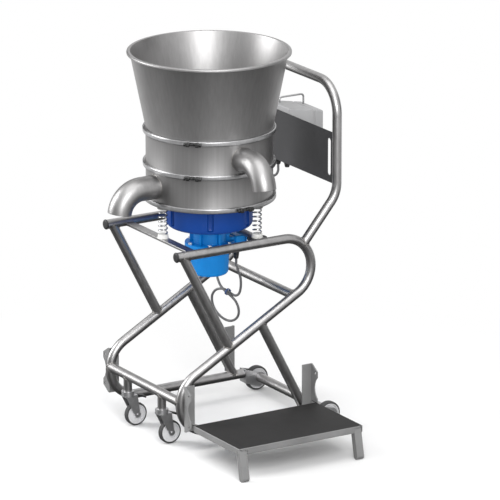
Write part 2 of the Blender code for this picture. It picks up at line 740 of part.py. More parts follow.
def make_fittings():
    face = box_front() + BOX_DEPTH + BEZEL_HEIGHT
    seat = -(BUTTON_TRAVEL + BEZEL_HEIGHT)
    looks = {"start_button": green, "stop_button": red, "main_switch": black}
    for name, x, z, radius in panel_fittings():
        turning = name == "main_switch"
        back = seat if turning else seat + BUTTON_TRAVEL
        length = SWITCH_LENGTH if turning else BUTTON_LENGTH
        mesh = rod_mesh(name, (0, back, 0), (0, back + length, 0), radius, SMALL_STEPS)
        knob = part(name, mesh, looks[name], location=(x, face, z))
        if turning:
            tall = math.sqrt(radius ** 2 - (SWITCH_GRIP_WIDTH / 2) ** 2) - GAP
            grip = box_mesh("switch_grip", (-SWITCH_GRIP_WIDTH / 2, back + length / 2, -tall),
                            (SWITCH_GRIP_WIDTH / 2, back + 2 * length, tall))
            join(knob, tool("switch_grip", grip, location=(x, face, z)))


def dome_mesh(name, end):
    """A gland's dome nut: from the middle of its hexagon, at z = 0, down to its end."""
    return rod_mesh(name, (0, 0, -GLAND_HEX_LENGTH / 2), (0, 0, end), GLAND_RADIUS, 12, GLAND_END_RADIUS)


def hexagon_mesh(name):
    return rod_mesh(name, (0, 0, 0), (0, 0, -GLAND_HEX_LENGTH), GLAND_HEX_RADIUS, 6)


def make_glands():
    """A gland takes each end of the cable in a bore, with room for the head to move on its springs."""
    under_terminals = motor_top() - TERMINAL_DROP - TERMINAL_HEIGHT
    seats = {"box_gland": (MACHINE, CABLE_ROUTE[0], BOX_FRONT_BOTTOM, BOX_GLAND_LENGTH),
             "motor_gland": (HEAD, CABLE_ROUTE[-1], under_terminals, MOTOR_GLAND_LENGTH)}
    for name, (parent, (x, y, _), carrier, length) in seats.items():
        seat = carrier - GAP
        gland = part(name, hexagon_mesh(name), black, parent, (x, y, seat))
        mouth = -length
        bore = rod_mesh(name + "_bore", (0, 0, mouth + CABLE_ENTRY + HEAD_ROOM), (0, 0, mouth - OVERRUN),
                        CABLE_RADIUS + CABLE_CLEARANCE, 12)
        join(gland, tool(name + "_dome", dome_mesh(name + "_dome", mouth), parent, (x, y, seat)))
        cut(gland, tool(name + "_bore", bore, parent, (x, y, seat)))


def joint_heights():
    """Heights of the three clamped joints: base and pan, pan and deck, deck and hopper."""
    return HEAD_JOINT, HEAD_JOINT + PAN_HEIGHT, HEAD_JOINT + PAN_HEIGHT + DECK_HEIGHT


def shell_outer(top, bottom):
    """The outer side of a shell with a flange at each end, from the top down."""
    return [(FLANGE_RADIUS, top), (FLANGE_RADIUS, top - FLANGE_THICKNESS),
            (SIEVE_RADIUS, top - FLANGE_THICKNESS), (SIEVE_RADIUS, bottom + FLANGE_THICKNESS),
            (FLANGE_RADIUS, bottom + FLANGE_THICKNESS), (FLANGE_RADIUS, bottom)]


def outlet_path(out, height):
    """Centreline of an outlet: from inside the shell, out through its wall, then bent down."""
    out, up = Vector(out), Vector((0, 0, 1))
    start = out * (SIEVE_RADIUS - SHELL_WALL - OVERRUN) + up * height
    centre = out * (SIEVE_RADIUS + OUTLET_STUB) + up * (height - OUTLET_BEND)
    turns = [OUTLET_TURN * i / BEND_STEPS for i in range(BEND_STEPS + 1)]
    bend = [centre + (up * math.cos(t) + out * math.sin(t)) * OUTLET_BEND for t in turns]
    last = (out * math.cos(OUTLET_TURN) - up * math.sin(OUTLET_TURN)) * OUTLET_TIP
    return [start, *bend, bend[-1] + last]


def add_outlet(shell, name, out, height):
    """Joins an outlet elbow onto a shell and opens its bore through the wall."""
    path = outlet_path(out, height)
    half = Vector((0, 0, OUTLET_RADIUS + OVERRUN))
    middle = Vector((0, 0, height))
    inside = rod_mesh(name + "_inside", middle - half, middle + half, SIEVE_RADIUS - SHELL_WALL / 2, SHELL_STEPS)
    pipe = tool(name + "_pipe", meshed(tube_curve(name + "_pipe", path, OUTLET_RADIUS, OUTLET_SIDES)), HEAD)
    cut(pipe, tool(name + "_inside", inside, HEAD))
    join(shell, pipe)
    last = path[-1] + (path[-1] - path[-2]).normalized() * OVERRUN
    deeper = path[0] - Vector(out) * OVERRUN
    bore = tube_curve(name + "_bore", [deeper, *path[1:], last], OUTLET_RADIUS - OUTLET_WALL, OUTLET_SIDES)
    cut(shell, tool(name + "_bore", meshed(bore), HEAD))


def make_pan():
    bottom, top = HEAD_JOINT + GASKET_THICKNESS / 2, HEAD_JOINT + PAN_HEIGHT - GASKET_THICKNESS / 2
    inner = SIEVE_RADIUS - SHELL_WALL
    floor = bottom + PAN_FLOOR_LIFT
    centre = floor + PAN_FLOOR_RISE
    points = [(0, centre), (inner, floor), (inner, top), *shell_outer(top, bottom),
              (inner, bottom), (inner, floor - SHELL_WALL), (0, centre - SHELL_WALL)]
    pan = part("collecting_pan", profile_mesh("collecting_pan", points, False), satin_steel, HEAD)
    turned(pan)
    add_outlet(pan, "pan_outlet", (0, -1, 0), HEAD_JOINT + OUTLET_LIFT)


def make_deck():
    low, high = joint_heights()[1:]
    bottom, top = low + GASKET_THICKNESS / 2, high - GASKET_THICKNESS / 2
    inner = SIEVE_RADIUS - SHELL_WALL
    points = [*shell_outer(top, bottom), (inner, bottom), (inner, top)]
    deck = turned(part("sieve_deck", profile_mesh("sieve_deck", points), satin_steel, HEAD))
    add_outlet(deck, "deck_outlet", (1, 0, 0), low + OUTLET_LIFT)


def make_hopper():
    bottom = joint_heights()[2] + GASKET_THICKNESS / 2
    top = bottom + HOPPER_HEIGHT
    cone_top = HOPPER_RIM_RADIUS - RIM_LIP
    neck = bottom + FLANGE_THICKNESS
    points = [(HOPPER_RIM_RADIUS, top), (HOPPER_RIM_RADIUS, top - RIM_DEPTH),
              (HOPPER_RIM_RADIUS - SHELL_WALL, top - RIM_DEPTH),
              (HOPPER_RIM_RADIUS - SHELL_WALL, top - SHELL_WALL),
              (cone_top, top - SHELL_WALL), (SIEVE_RADIUS, neck), (FLANGE_RADIUS, neck),
              (FLANGE_RADIUS, bottom), (SIEVE_RADIUS - SHELL_WALL, bottom),
              (SIEVE_RADIUS - SHELL_WALL, neck), (cone_top - SHELL_WALL, top)]
    turned(part("hopper", profile_mesh("hopper", points), satin_steel, HEAD))


def ring_profile(inner, outer, bottom, top):
    return [(outer, top), (outer, bottom), (inner, bottom), (inner, top)]


def make_gaskets_and_screen():
    base, middle, upper = joint_heights()
    half = GASKET_THICKNESS / 2 - GAP
    inner = SIEVE_RADIUS - SHELL_WALL
    for name, height in (("base_gasket", base), ("hopper_gasket", upper)):
        points = ring_profile(inner, FLANGE_RADIUS - GAP, height - half, height + half)
        turned(part(name, profile_mesh(name, points), rubber, HEAD))
    seal_inner = SIEVE_RADIUS - SHELL_WALL + SHELL_WALL / 2
    points = ring_profile(seal_inner + GAP, FLANGE_RADIUS - GAP, middle - half, middle + half)
    turned(part("screen_gasket", profile_mesh("screen_gasket", points), rubber, HEAD))
    ring = seal_inner - SCREEN_RING_WIDTH
    points = [(0, middle + SCREEN_THICKNESS / 2), (ring, middle + SCREEN_THICKNESS / 2), (ring, middle + half),
              (seal_inner, middle + half), (seal_inner, middle - half), (ring, middle - half),
              (ring, middle - SCREEN_THICKNESS / 2), (0, middle - SCREEN_THICKNESS / 2)]
    turned(part("sieve_screen", profile_mesh("sieve_screen", points, False), plated, HEAD))


def make_clamp_rings():
    """Each ring is a channel round two flanges, drawn up by two bolts on opposite sides."""
    room = GASKET_THICKNESS / 2 + FLANGE_THICKNESS + GAP
    deep = FLANGE_RADIUS + GAP
    lip = SIEVE_RADIUS + 2 * GAP + SHELL_WALL / 2
    shoulder = CLAMP_RADIUS - CLAMP_WALL
    places = {"lower": (joint_heights()[0], 0), "middle": (joint_heights()[1], -math.pi / 4),
              "upper": (joint_heights()[2], -math.pi / 4)}
    for name, (height, turn) in places.items():
        tall = room + CLAMP_WALL
        points = [(shoulder, tall), (CLAMP_RADIUS, tall - CLAMP_WALL), (CLAMP_RADIUS, CLAMP_WALL - tall),
                  (shoulder, -tall), (lip, -room), (deep, -room), (deep, room), (lip, room)]
        mesh = profile_mesh("clamp_ring_" + name, points)
        ring = turned(part("clamp_ring_" + name, mesh, steel, HEAD, (0, 0, height)))
        ring.rotation_euler.z = turn
        for end, flip in (("near", 1), ("far", -1)):
            add_latch(ring, "%s_%s_latch" % (name, end), flip, height, turn)


def add_latch(ring, name, flip, height, turn):
    """Two lugs with a bolt through them, on the ring's own X axis."""
    inner, outer = CLAMP_RADIUS - CLAMP_WALL / 2, CLAMP_RADIUS + LUG_REACH
    lugs = []
    for step in (1, -1):
        y = step * LUG_SPACING / 2
        mesh = box_mesh("%s_lug" % name, (inner, y - LUG_LENGTH / 2, -LUG_HEIGHT / 2),
                        (outer, y + LUG_LENGTH / 2, LUG_HEIGHT / 2))
        lugs.append(mesh)
    bolt_x = (inner + outer + CLAMP_WALL) / 2
    reach = LUG_SPACING / 2 + LUG_LENGTH / 2 + NUT_LENGTH
    lugs.append(rod_mesh(name + "_bolt", (bolt_x, -reach, 0), (bolt_x, reach, 0), BOLT_RADIUS, 6))
    nut_from = reach - NUT_LENGTH - GAP
    lugs.append(rod_mesh(name + "_nut", (bolt_x, nut_from, 0), (bolt_x, reach, 0), NUT_RADIUS, 6))
    for mesh in lugs:
        if flip < 0:
            mesh.transform(Matrix.Rotation(math.pi, 4, "Z"))
        shape = tool(mesh.name, mesh, HEAD, (0, 0, height))
        shape.rotation_euler.z = turn
        join(ring, shape)


def spring_places():
    """The three springs: one in front, two behind, a third of a turn apart."""
    names = ("front", "rear_right", "rear_left")
    turns = [-math.pi / 2 + i * 2 * math.pi / 3 for i in range(3)]
    return {name: (SPRING_CIRCLE * math.cos(t), SPRING_CIRCLE * math.sin(t)) for name, t in zip(names, turns)}


def base_bottom():
    return HEAD_JOINT - GASKET_THICKNESS / 2 - BASE_PLATE_THICKNESS


def make_base_plate():
    top = HEAD_JOINT - GASKET_THICKNESS / 2
    points = [(0, top), (FLANGE_RADIUS, top), (FLANGE_RADIUS, top - FLANGE_THICKNESS),
              (SIEVE_RADIUS, top - FLANGE_THICKNESS), (SIEVE_RADIUS, base_bottom()), (0, base_bottom())]
    plate = turned(part("base_plate", profile_mesh("base_plate", points, False), satin_steel, HEAD))
    for name, (x, y) in spring_places().items():
        cup = rod_mesh("upper_cup_" + name, (x, y, base_bottom() + BASE_PLATE_THICKNESS / 2),
                       (x, y, base_bottom() - CUP_HEIGHT), CUP_RADIUS, SMALL_STEPS)
        join(plate, tool("upper_cup_" + name, cup, HEAD))


def make_springs():
    low, high = SPRING_BAR_TOP + CUP_HEIGHT + GAP, base_bottom() - CUP_HEIGHT - GAP
    count = int(SPRING_TURNS * SPRING_POINTS_PER_TURN)
    for name, (x, y) in spring_places().items():
        path = []
        for i in range(count + 1):
            turn = 2 * math.pi * i / SPRING_POINTS_PER_TURN
            rise = low + SPRING_WIRE + (high - low - 2 * SPRING_WIRE) * i / count
            path.append((SPRING_RADIUS * math.cos(turn), SPRING_RADIUS * math.sin(turn), rise))
        part("spring_" + name, tube_curve("spring_" + name, path, SPRING_WIRE, SPRING_SIDES), plated, location=(x, y, 0))


def make_spring_bars():
    """Flat bars across the frame; the rear one is widened to a round seat under each spring."""
    places = spring_places()
    half, bottom = FRAME_HALF_WIDTH - WELD_INSET, SPRING_BAR_TOP - SPRING_BAR_THICKNESS
    for bar_name, springs in (("front_spring_bar", ["front"]), ("rear_spring_bar", ["rear_right", "rear_left"])):
        y = places[springs[0]][1]
        mesh = box_mesh(bar_name, (-half, y - SPRING_BAR_WIDTH / 2, bottom),
                        (half, y + SPRING_BAR_WIDTH / 2, SPRING_BAR_TOP))
        bar = cut(part(bar_name, mesh, charcoal), *SIDE_CLEARANCE.values())
        for spring in springs:
            x = places[spring][0]
            if len(springs) > 1:
                seat = rod_mesh("seat_" + spring, (x, y, bottom + SEAT_STEP), (x, y, SPRING_BAR_TOP - SEAT_STEP),
                                SEAT_RADIUS, SMALL_STEPS)
                join(bar, tool("seat_" + spring, seat))
            cup = rod_mesh("lower_cup_" + spring, (x, y, SPRING_BAR_TOP - SPRING_BAR_THICKNESS / 2),
                           (x, y, SPRING_BAR_TOP + CUP_HEIGHT), CUP_RADIUS, SMALL_STEPS)
            join(bar, tool("lower_cup_" + spring, cup))


def make_drum():
    top = base_bottom() - GAP
    bottom = top - DRUM_HEIGHT
    inner = DRUM_RADIUS - DRUM_WALL
    corner = arc((DRUM_RADIUS - DRUM_FILLET, bottom + DRUM_FILLET), DRUM_FILLET, 0, -math.pi / 2, 4)
    points = [(DRUM_RADIUS, top), *corner, (DRUM_MOUTH, bottom), (DRUM_MOUTH, bottom + DRUM_FLOOR),
              (inner, bottom + DRUM_FLOOR), (inner, top)]
    drum = turned(part("vibrator_drum", profile_mesh("vibrator_drum", points), navy, HEAD), DRUM_STEPS)
    for i in range(POCKETS):
        turn = math.pi / POCKETS + 2 * math.pi * i / POCKETS
        mesh = box_mesh("pocket_%d" % i, (DRUM_RADIUS - POCKET_DEPTH, -POCKET_WIDTH / 2, bottom + POCKET_BOTTOM_MARGIN),
                        (DRUM_RADIUS + OVERRUN, POCKET_WIDTH / 2, top - POCKET_TOP_MARGIN))
        pocket = tool("pocket_%d" % i, mesh, HEAD)
        pocket.rotation_euler.z = turn
        cut(drum, pocket)


def drum_bottom():
    return base_bottom() - GAP - DRUM_HEIGHT


def motor_top():
    return drum_bottom() - GAP


def make_motor():
    top = motor_top()
    flange_top = top - NECK_HEIGHT
    flange_bottom = flange_top - MOTOR_FLANGE_THICKNESS
    bottom = flange_bottom - MOTOR_BODY_HEIGHT
    bore = SHAFT_RADIUS + SHAFT_CLEARANCE
    corner = arc((MOTOR_BODY_RADIUS - MOTOR_FILLET, bottom + MOTOR_FILLET), MOTOR_FILLET, 0, -math.pi / 2, 4)
    points = [(0, top - SHAFT_DEPTH), (bore, top - SHAFT_DEPTH), (bore, top), (NECK_RADIUS, top),
              (NECK_RADIUS, flange_top), (MOTOR_FLANGE_RADIUS, flange_top),
              (MOTOR_FLANGE_RADIUS, flange_bottom), (MOTOR_BODY_RADIUS, flange_bottom), *corner, (0, bottom)]
    motor = turned(part("motor", profile_mesh("motor", points, False), azure, HEAD), MOTOR_STEPS)
    for i in range(NECK_RIBS):
        mesh = box_mesh("rib_%d" % i, (NECK_RADIUS - OVERRUN, -NECK_RIB_THICKNESS / 2, flange_top - GAP),
                        (MOTOR_BODY_RADIUS, NECK_RIB_THICKNESS / 2, top))
        rib = tool("rib_%d" % i, mesh, HEAD)
        rib.rotation_euler.z = 2 * math.pi * i / NECK_RIBS
        join(motor, rib)
    seat_top = top - TERMINAL_DROP - TERMINAL_EDGE
    seat_bottom = top - TERMINAL_DROP - TERMINAL_HEIGHT + TERMINAL_EDGE
    seat_half = TERMINAL_WIDTH / 2 - TERMINAL_EDGE
    seat = box_mesh("terminal_seat", (-seat_half, NECK_RADIUS / 2, seat_bottom), (seat_half, MOTOR_FLANGE_RADIUS, seat_top))
    join(motor, tool("terminal_seat", seat, HEAD))


def make_terminal_box():
    top = motor_top() - TERMINAL_DROP
    near = MOTOR_FLANGE_RADIUS + GAP
    mesh = box_mesh("terminal_box", (-TERMINAL_WIDTH / 2, near, top - TERMINAL_HEIGHT),
                    (TERMINAL_WIDTH / 2, near + TERMINAL_DEPTH, top))
    case = part("terminal_box", mesh, azure, HEAD)
    bevelled(case, TERMINAL_EDGE)


def make_rotor():
    """The shaft and the two unbalance weights that shake the head."""
    rotor = empty("rotor_axis", HEAD, (0, 0, motor_top()))
    low = GAP - SHAFT_DEPTH
    high = DRUM_HEIGHT - WEIGHT_MARGIN
    part("rotor_shaft", rod_mesh("rotor_shaft", (0, 0, low), (0, 0, high), SHAFT_RADIUS), steel, rotor)
    floor = DRUM_FLOOR + GAP
    starts = {"lower_weight": floor + WEIGHT_MARGIN, "upper_weight": high - WEIGHT_MARGIN - WEIGHT_THICKNESS}
    for name, start in starts.items():
        half = WEIGHT_ANGLE / 2
        lean = math.pi / 2 if name == "upper_weight" else 0
        outline = (arc((0, 0), WEIGHT_RADIUS, lean - half, lean + half, 14)
                   + arc((0, 0), WEIGHT_HUB_RADIUS, lean + half, lean + 2 * math.pi - half, 10))
        bore = arc((0, 0), SHAFT_RADIUS + GAP, 0, 2 * math.pi * 15 / 16, 15)
        turn = Matrix.Translation((0, 0, start + WEIGHT_THICKNESS / 2))
        mesh = meshed(plate_curve(name, [outline, bore], WEIGHT_THICKNESS), turn)
        part(name, mesh, plated, rotor)


def make_brackets():
    """Four step brackets: an upright profile plate with two hooks, and the strip that carries it."""
    inner = FRAME_HALF_WIDTH + TUBE_RADIUS + GAP
    middle = (BRACKET_TOP + BRACKET_BOTTOM) / 2
    half = (BRACKET_TOP - BRACKET_BOTTOM) / 2
    nose = half - BRACKET_HOLE_INSET
    waist_half = nose - BRACKET_HOLE_INSET / 2
    sag = BRACKET_REACH - BRACKET_WAIST
    waist_radius = (waist_half ** 2 + sag ** 2) / (2 * sag)
    spread = math.asin(waist_half / waist_radius)
    waist = [(BRACKET_WAIST + waist_radius - waist_radius * math.cos(t), waist_radius * math.sin(t))
             for t in np.linspace(-spread, spread, 7)]
    upper = [(BRACKET_REACH, nose + BRACKET_HOLE_INSET / 4), (BRACKET_TIP, half), (0, half)]
    lower = [(x, -z) for x, z in reversed(upper)]
    outline = lower + waist + upper
    holes = [arc((BRACKET_HOLE_REACH, sign * nose), BRACKET_HOLE_RADIUS, 0, 2 * math.pi * 11 / 12, 11)
             for sign in (1, -1)]
    for side, x_sign in SIDES.items():
        for end, y_sign in (("front", -1), ("rear", 1)):
            name = "step_bracket_%s_%s" % (end, side)
            place = (x_sign * inner, y_sign * (BRACKET_OUTER - BRACKET_THICKNESS / 2), middle)
            turn = Matrix.Diagonal((x_sign, 1, 1, 1)) @ FACING_Y
            bracket = part(name, meshed(plate_curve(name, [outline, *holes], BRACKET_THICKNESS), turn), plated,
                           location=place)
            inward = BRACKET_THICKNESS / 2 - BRACKET_STRIP_WIDTH
            ends = sorted((y_sign * inward, y_sign * BRACKET_THICKNESS / 4))
            wide = sorted((0, x_sign * BRACKET_THICKNESS))
            strip = box_mesh(name + "_strip", (wide[0], ends[0], -half), (wide[1], ends[1], half))
            join(bracket, tool(name + "_strip", strip, location=place))


def hinge_place():
    """The step's hinge, through the lower holes of the right-hand brackets."""
    x = FRAME_HALF_WIDTH + TUBE_RADIUS + GAP + BRACKET_HOLE_REACH
    return x, 0, BRACKET_BOTTOM + BRACKET_HOLE_INSET


def leg_pivot():
    """Leg pivot from the hinge."""
    return (STEP_EDGE_FROM_HINGE + STEP_DEPTH - LEG_FROM_EDGE,
            STEP_TOP_ABOVE_HINGE - STEP_SHEET - LEG_WIDTH / 2 - 2 * GAP)


def make_step():
    hinge = empty("step_hinge", MACHINE, hinge_place())
    near, far = STEP_EDGE_FROM_HINGE, STEP_EDGE_FROM_HINGE + STEP_DEPTH
    half, top = STEP_LENGTH / 2, STEP_TOP_ABOVE_HINGE
    tray = part("step_platform", box_mesh("step_platform", (near, -half, top - STEP_SKIRT), (far, half, top)),
                charcoal, hinge)
    bevelled(tray, STEP_EDGE, 1)
    hollow = box_mesh("step_hollow", (near + STEP_SHEET, STEP_SHEET - half, top - STEP_SKIRT - OVERRUN),
                      (far - STEP_SHEET, half - STEP_SHEET, top - STEP_SHEET))
    cut(tray, tool("step_hollow", hollow, hinge))
    pivot_x, pivot_z = leg_pivot()
    for end, sign in (("front", -1), ("rear", 1)):
        outer, inner = sign * half, sign * (half - STEP_SHEET)
        lug_outline = arc((0, 0), STEP_EDGE_FROM_HINGE / 2 + PIN_RADIUS / 2, math.pi / 2, 3 * math.pi / 2, 6)
        reach = lug_outline[0][1]
        lug_outline += [(near + STEP_SHEET, -reach), (near + STEP_SHEET, min(reach, top))]
        lug_outline[0] = (0, min(reach, top))
        lug_outline = [(x, min(z, top)) for x, z in lug_outline]
        turn = Matrix.Translation((0, (outer + inner) / 2, 0)) @ FACING_Y
        lug = meshed(plate_curve("hinge_lug_" + end, [lug_outline], STEP_SHEET), turn)
        pin_end = sign * (BRACKET_OUTER + PIN_RADIUS)
        pin = rod_mesh("hinge_pin_" + end, (0, inner, 0), (0, pin_end, 0), PIN_RADIUS, 12)
        leg_pin = rod_mesh("leg_pin_" + end, (pivot_x, outer + sign * PIN_RADIUS / 2, pivot_z),
                           (pivot_x, sign * (half - STEP_SHEET - LEG_THICKNESS - 3 * PIN_RADIUS / 4), pivot_z),
                           PIN_RADIUS, 12)
        notch_ends = sorted((inner, inner - sign * (LEG_THICKNESS + 4 * LEG_CLEARANCE)))
        notch = box_mesh("leg_notch_" + end, (far - STEP_SHEET - OVERRUN, notch_ends[0], top - STEP_SKIRT - OVERRUN),
                         (far + OVERRUN, notch_ends[1], top - STEP_SHEET))
        cut(tray, tool("leg_notch_" + end, notch, hinge))
        join(tray, tool("hinge_lug_" + end, lug, hinge), tool("hinge_pin_" + end, pin, hinge),
             tool("leg_pin_" + end, leg_pin, hinge))
    make_legs(hinge)


def make_legs(hinge):
    pivot_x, pivot_z = leg_pivot()
    drop = hinge_place()[2] + pivot_z
    length = (drop - LEG_WIDTH / 2) / math.cos(LEG_SPLAY)
    outline = (arc((0, 0), LEG_WIDTH / 2, 0, math.pi, 8)
               + arc((0, -length), LEG_WIDTH / 2, math.pi, 2 * math.pi, 8))
    bore = arc((0, 0), PIN_RADIUS + GAP, 0, 2 * math.pi * 11 / 12, 11)
    for end, sign in (("front", -1), ("rear", 1)):
        y = sign * (STEP_LENGTH / 2 - STEP_SHEET - LEG_CLEARANCE - LEG_THICKNESS / 2)
        mesh = meshed(plate_curve("step_leg_" + end, [outline, bore], LEG_THICKNESS),
                      Matrix.Rotation(-LEG_SPLAY, 4, "Y") @ FACING_Y)
        part("step_leg_" + end, mesh, grey_paint, hinge, (pivot_x, y, pivot_z))


def wheel_profile(radius, width, bore):
    """Half-section of a wheel about its axle: tyre, recessed web and hub."""
    half = width / 2
    crown, web = TYRE_CROWN_SHARE * half, WHEEL_WEB_SHARE * half
    hub, rim = bore + WHEEL_HUB_SHARE * radius, WHEEL_RIM_SHARE * radius
    shoulder = radius - TYRE_EDGE_SHARE * half
    return [(shoulder, half), (radius, crown), (radius, -crown), (shoulder, -half),
            (rim, -half), (hub, -web), (bore, -half), (bore, half), (hub, web), (rim, half)]


def make_wheel(name, parent, location, radius, width, axle_radius):
    points = wheel_profile(radius, width, axle_radius + AXLE_CLEARANCE)
    wheel = turned(part(name, profile_mesh(name, points), rubber, parent, location), WHEEL_STEPS)
    wheel.rotation_euler.y = math.pi / 2
    return wheel


def make_rear_wheels():
    for side, sign in SIDES.items():
        centre = Vector((sign * FRAME_HALF_WIDTH, REAR_AXLE_PLACE, REAR_WHEEL_RADIUS))
        make_wheel("rear_wheel_" + side, MACHINE, centre, REAR_WHEEL_RADIUS, REAR_WHEEL_WIDTH, REAR_AXLE_RADIUS)
        bridge_y = BOTTOM_TUBE_REAR + GAP - REAR_AXLE_PLACE
        tall = FRAME_BOTTOM + TUBE_RADIUS - REAR_WHEEL_RADIUS
        deep = FRAME_BOTTOM - TUBE_RADIUS - REAR_WHEEL_RADIUS - TUBE_RADIUS
        outline = [(bridge_y, tall), (bridge_y, deep), *arc((0, 0), REAR_CHEEK_ROUND, -math.pi / 2, math.pi / 2, 10)]
        inner = REAR_WHEEL_WIDTH / 2 + REAR_CHEEK_GAP
        cheeks = []
        for step in (1, -1):
            turn = Matrix.Translation((step * (inner + REAR_CHEEK / 2), 0, 0)) @ FACING_X
            cheeks.append(meshed(plate_curve("rear_cheek", [outline], REAR_CHEEK), turn))
        fork = part("rear_fork_" + side, cheeks[0], plated, location=centre)
        bridge = box_mesh("fork_bridge_" + side, (-inner - REAR_CHEEK / 2, bridge_y, deep),
                          (inner + REAR_CHEEK / 2, bridge_y + FORK_BRIDGE, tall))
        axle = rod_mesh("rear_axle_" + side, (-inner - REAR_CHEEK / 2, 0, 0), (inner + REAR_CHEEK / 2, 0, 0),
                        REAR_AXLE_RADIUS, 12)
        join(fork, tool("rear_cheek_" + side, cheeks[1], location=centre),
             tool("fork_bridge_" + side, bridge, location=centre), tool("rear_axle_" + side, axle, location=centre))


def make_casters():
    for side, sign in SIDES.items():
        swivel = empty("caster_swivel_" + side, MACHINE, (sign * CASTER_SPACING / 2, CASTER_SWIVEL_FRONT, 0))
        axle = Vector((0, CASTER_TRAIL, CASTER_WHEEL_RADIUS))
        make_wheel("caster_wheel_" + side, swivel, axle, CASTER_WHEEL_RADIUS, CASTER_WHEEL_WIDTH,
                   CASTER_AXLE_RADIUS)
        crown_top = CASTER_HEAD_TOP - CASTER_HEAD_HEIGHT
        crown_bottom = crown_top - CASTER_CHEEK
        inner = CASTER_WHEEL_WIDTH / 2 + CASTER_CHEEK_GAP
        outer = inner + CASTER_CHEEK
        head = rod_mesh("caster_fork_" + side, (0, 0, crown_bottom), (0, 0, CASTER_HEAD_TOP), CASTER_HEAD_RADIUS,
                        SMALL_STEPS)
        fork = part("caster_fork_" + side, head, plated, swivel)
        round_end = arc((CASTER_TRAIL, axle.z), CASTER_HEAD_RADIUS / 2, -3 * math.pi / 4, math.pi / 4, 6)
        outline = [(-CASTER_CROWN_FRONT, crown_top), *round_end, (CASTER_CROWN_REAR, crown_top)]
        for end, step in (("inner", 1), ("outer", -1)):
            turn = Matrix.Translation((step * (inner + outer) / 2, 0, 0)) @ FACING_X
            cheek = meshed(plate_curve("caster_cheek", [outline], CASTER_CHEEK), turn)
            join(fork, tool("caster_cheek_%s_%s" % (end, side), cheek, swivel))
        crown = box_mesh("caster_crown", (-outer, -CASTER_CROWN_FRONT, crown_bottom),
                         (outer, CASTER_CROWN_REAR, crown_top))
        pin = rod_mesh("caster_axle", (-outer - CASTER_CHEEK, *axle.yz), (outer + CASTER_CHEEK, *axle.yz),
                       CASTER_AXLE_RADIUS, 12)
        join(fork, tool("caster_crown_" + side, crown, swivel), tool("caster_axle_" + side, pin, swivel))
        make_pedal(side, swivel, crown_top)


def pedal_pivot(crown_top):
    """Place of a brake pedal's pivot from its caster's swivel axis."""
    return CASTER_CROWN_REAR + PEDAL_THICKNESS / 2 + GAP, crown_top - PEDAL_THICKNESS / 2


def make_pedal(side, swivel, crown_top):
    y, z = pedal_pivot(crown_top)
    half = PEDAL_THICKNESS / 2
    tip = [(PEDAL_LENGTH * reach, -PEDAL_LENGTH * fall) for reach, fall in PEDAL_TIP_SHARES]
    outline = [*arc((0, 0), half, math.pi / 2, 3 * math.pi / 2, 5), *tip]
    mesh = meshed(plate_curve("brake_pedal_" + side, [outline], PEDAL_WIDTH), FACING_X)
    part("brake_pedal_" + side, mesh, black, swivel, (0, y, z))


def make_cable():
    route = smooth_route(CABLE_ROUTE, CABLE_POINTS)
    part("motor_cable", tube_curve("motor_cable", route, CABLE_RADIUS, 8), black)
    along = Vector(TIE_DIRECTION).normalized()
    centre = Vector(TIE_PLACE)
    half = along * TIE_LENGTH / 2
    tie = part("cable_tie", rod_mesh("cable_tie", centre - half, centre + half, TIE_RADIUS, 12), black)
    hole_path = [tuple(point) for point in route]
    bore = tube_curve("tie_bore", hole_path, CABLE_RADIUS + GAP, 8)
    cut(tie, tool("tie_bore", meshed(bore)))


def centre_on_floor():
    """Moves the whole machine so that its middle in plan is the origin."""
    bpy.context.view_layer.update()
    graph = bpy.context.evaluated_depsgraph_get()
    corners = []
    for piece in PARTS.objects:
        if piece.type != "EMPTY":
            seen = piece.evaluated_get(graph)
            mesh = seen.to_mesh()
            corners += [seen.matrix_world @ vertex.co for vertex in mesh.vertices]
            seen.to_mesh_clear()
    corners = np.array(corners)
    middle = (corners.min(axis=0) + corners.max(axis=0)) / 2
    MACHINE.location = (-middle[0], -middle[1], 0)


make_side_frames()
make_struts()
make_crossbars()
make_handle()
make_panel_plate()
make_control_box()
make_fittings()
make_glands()
make_pan()
make_deck()
make_hopper()
make_gaskets_and_screen()
make_clamp_rings()
make_base_plate()
make_springs()
make_spring_bars()
make_drum()
make_motor()
make_terminal_box()
make_rotor()
make_brackets()
make_step()
make_rear_wheels()
make_casters()
make_cable()
centre_on_floor()
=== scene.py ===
# %% [markdown]
# A mobile vibrating sieve, dressed for its portrait.
# The frame loaded here holds every solid of the machine at its true place and size.
# This lesson lays fine surfaces over the faceted ones and gives each its finish.

import math

import bmesh
import bpy
import numpy as np
from mathutils import Matrix, Vector


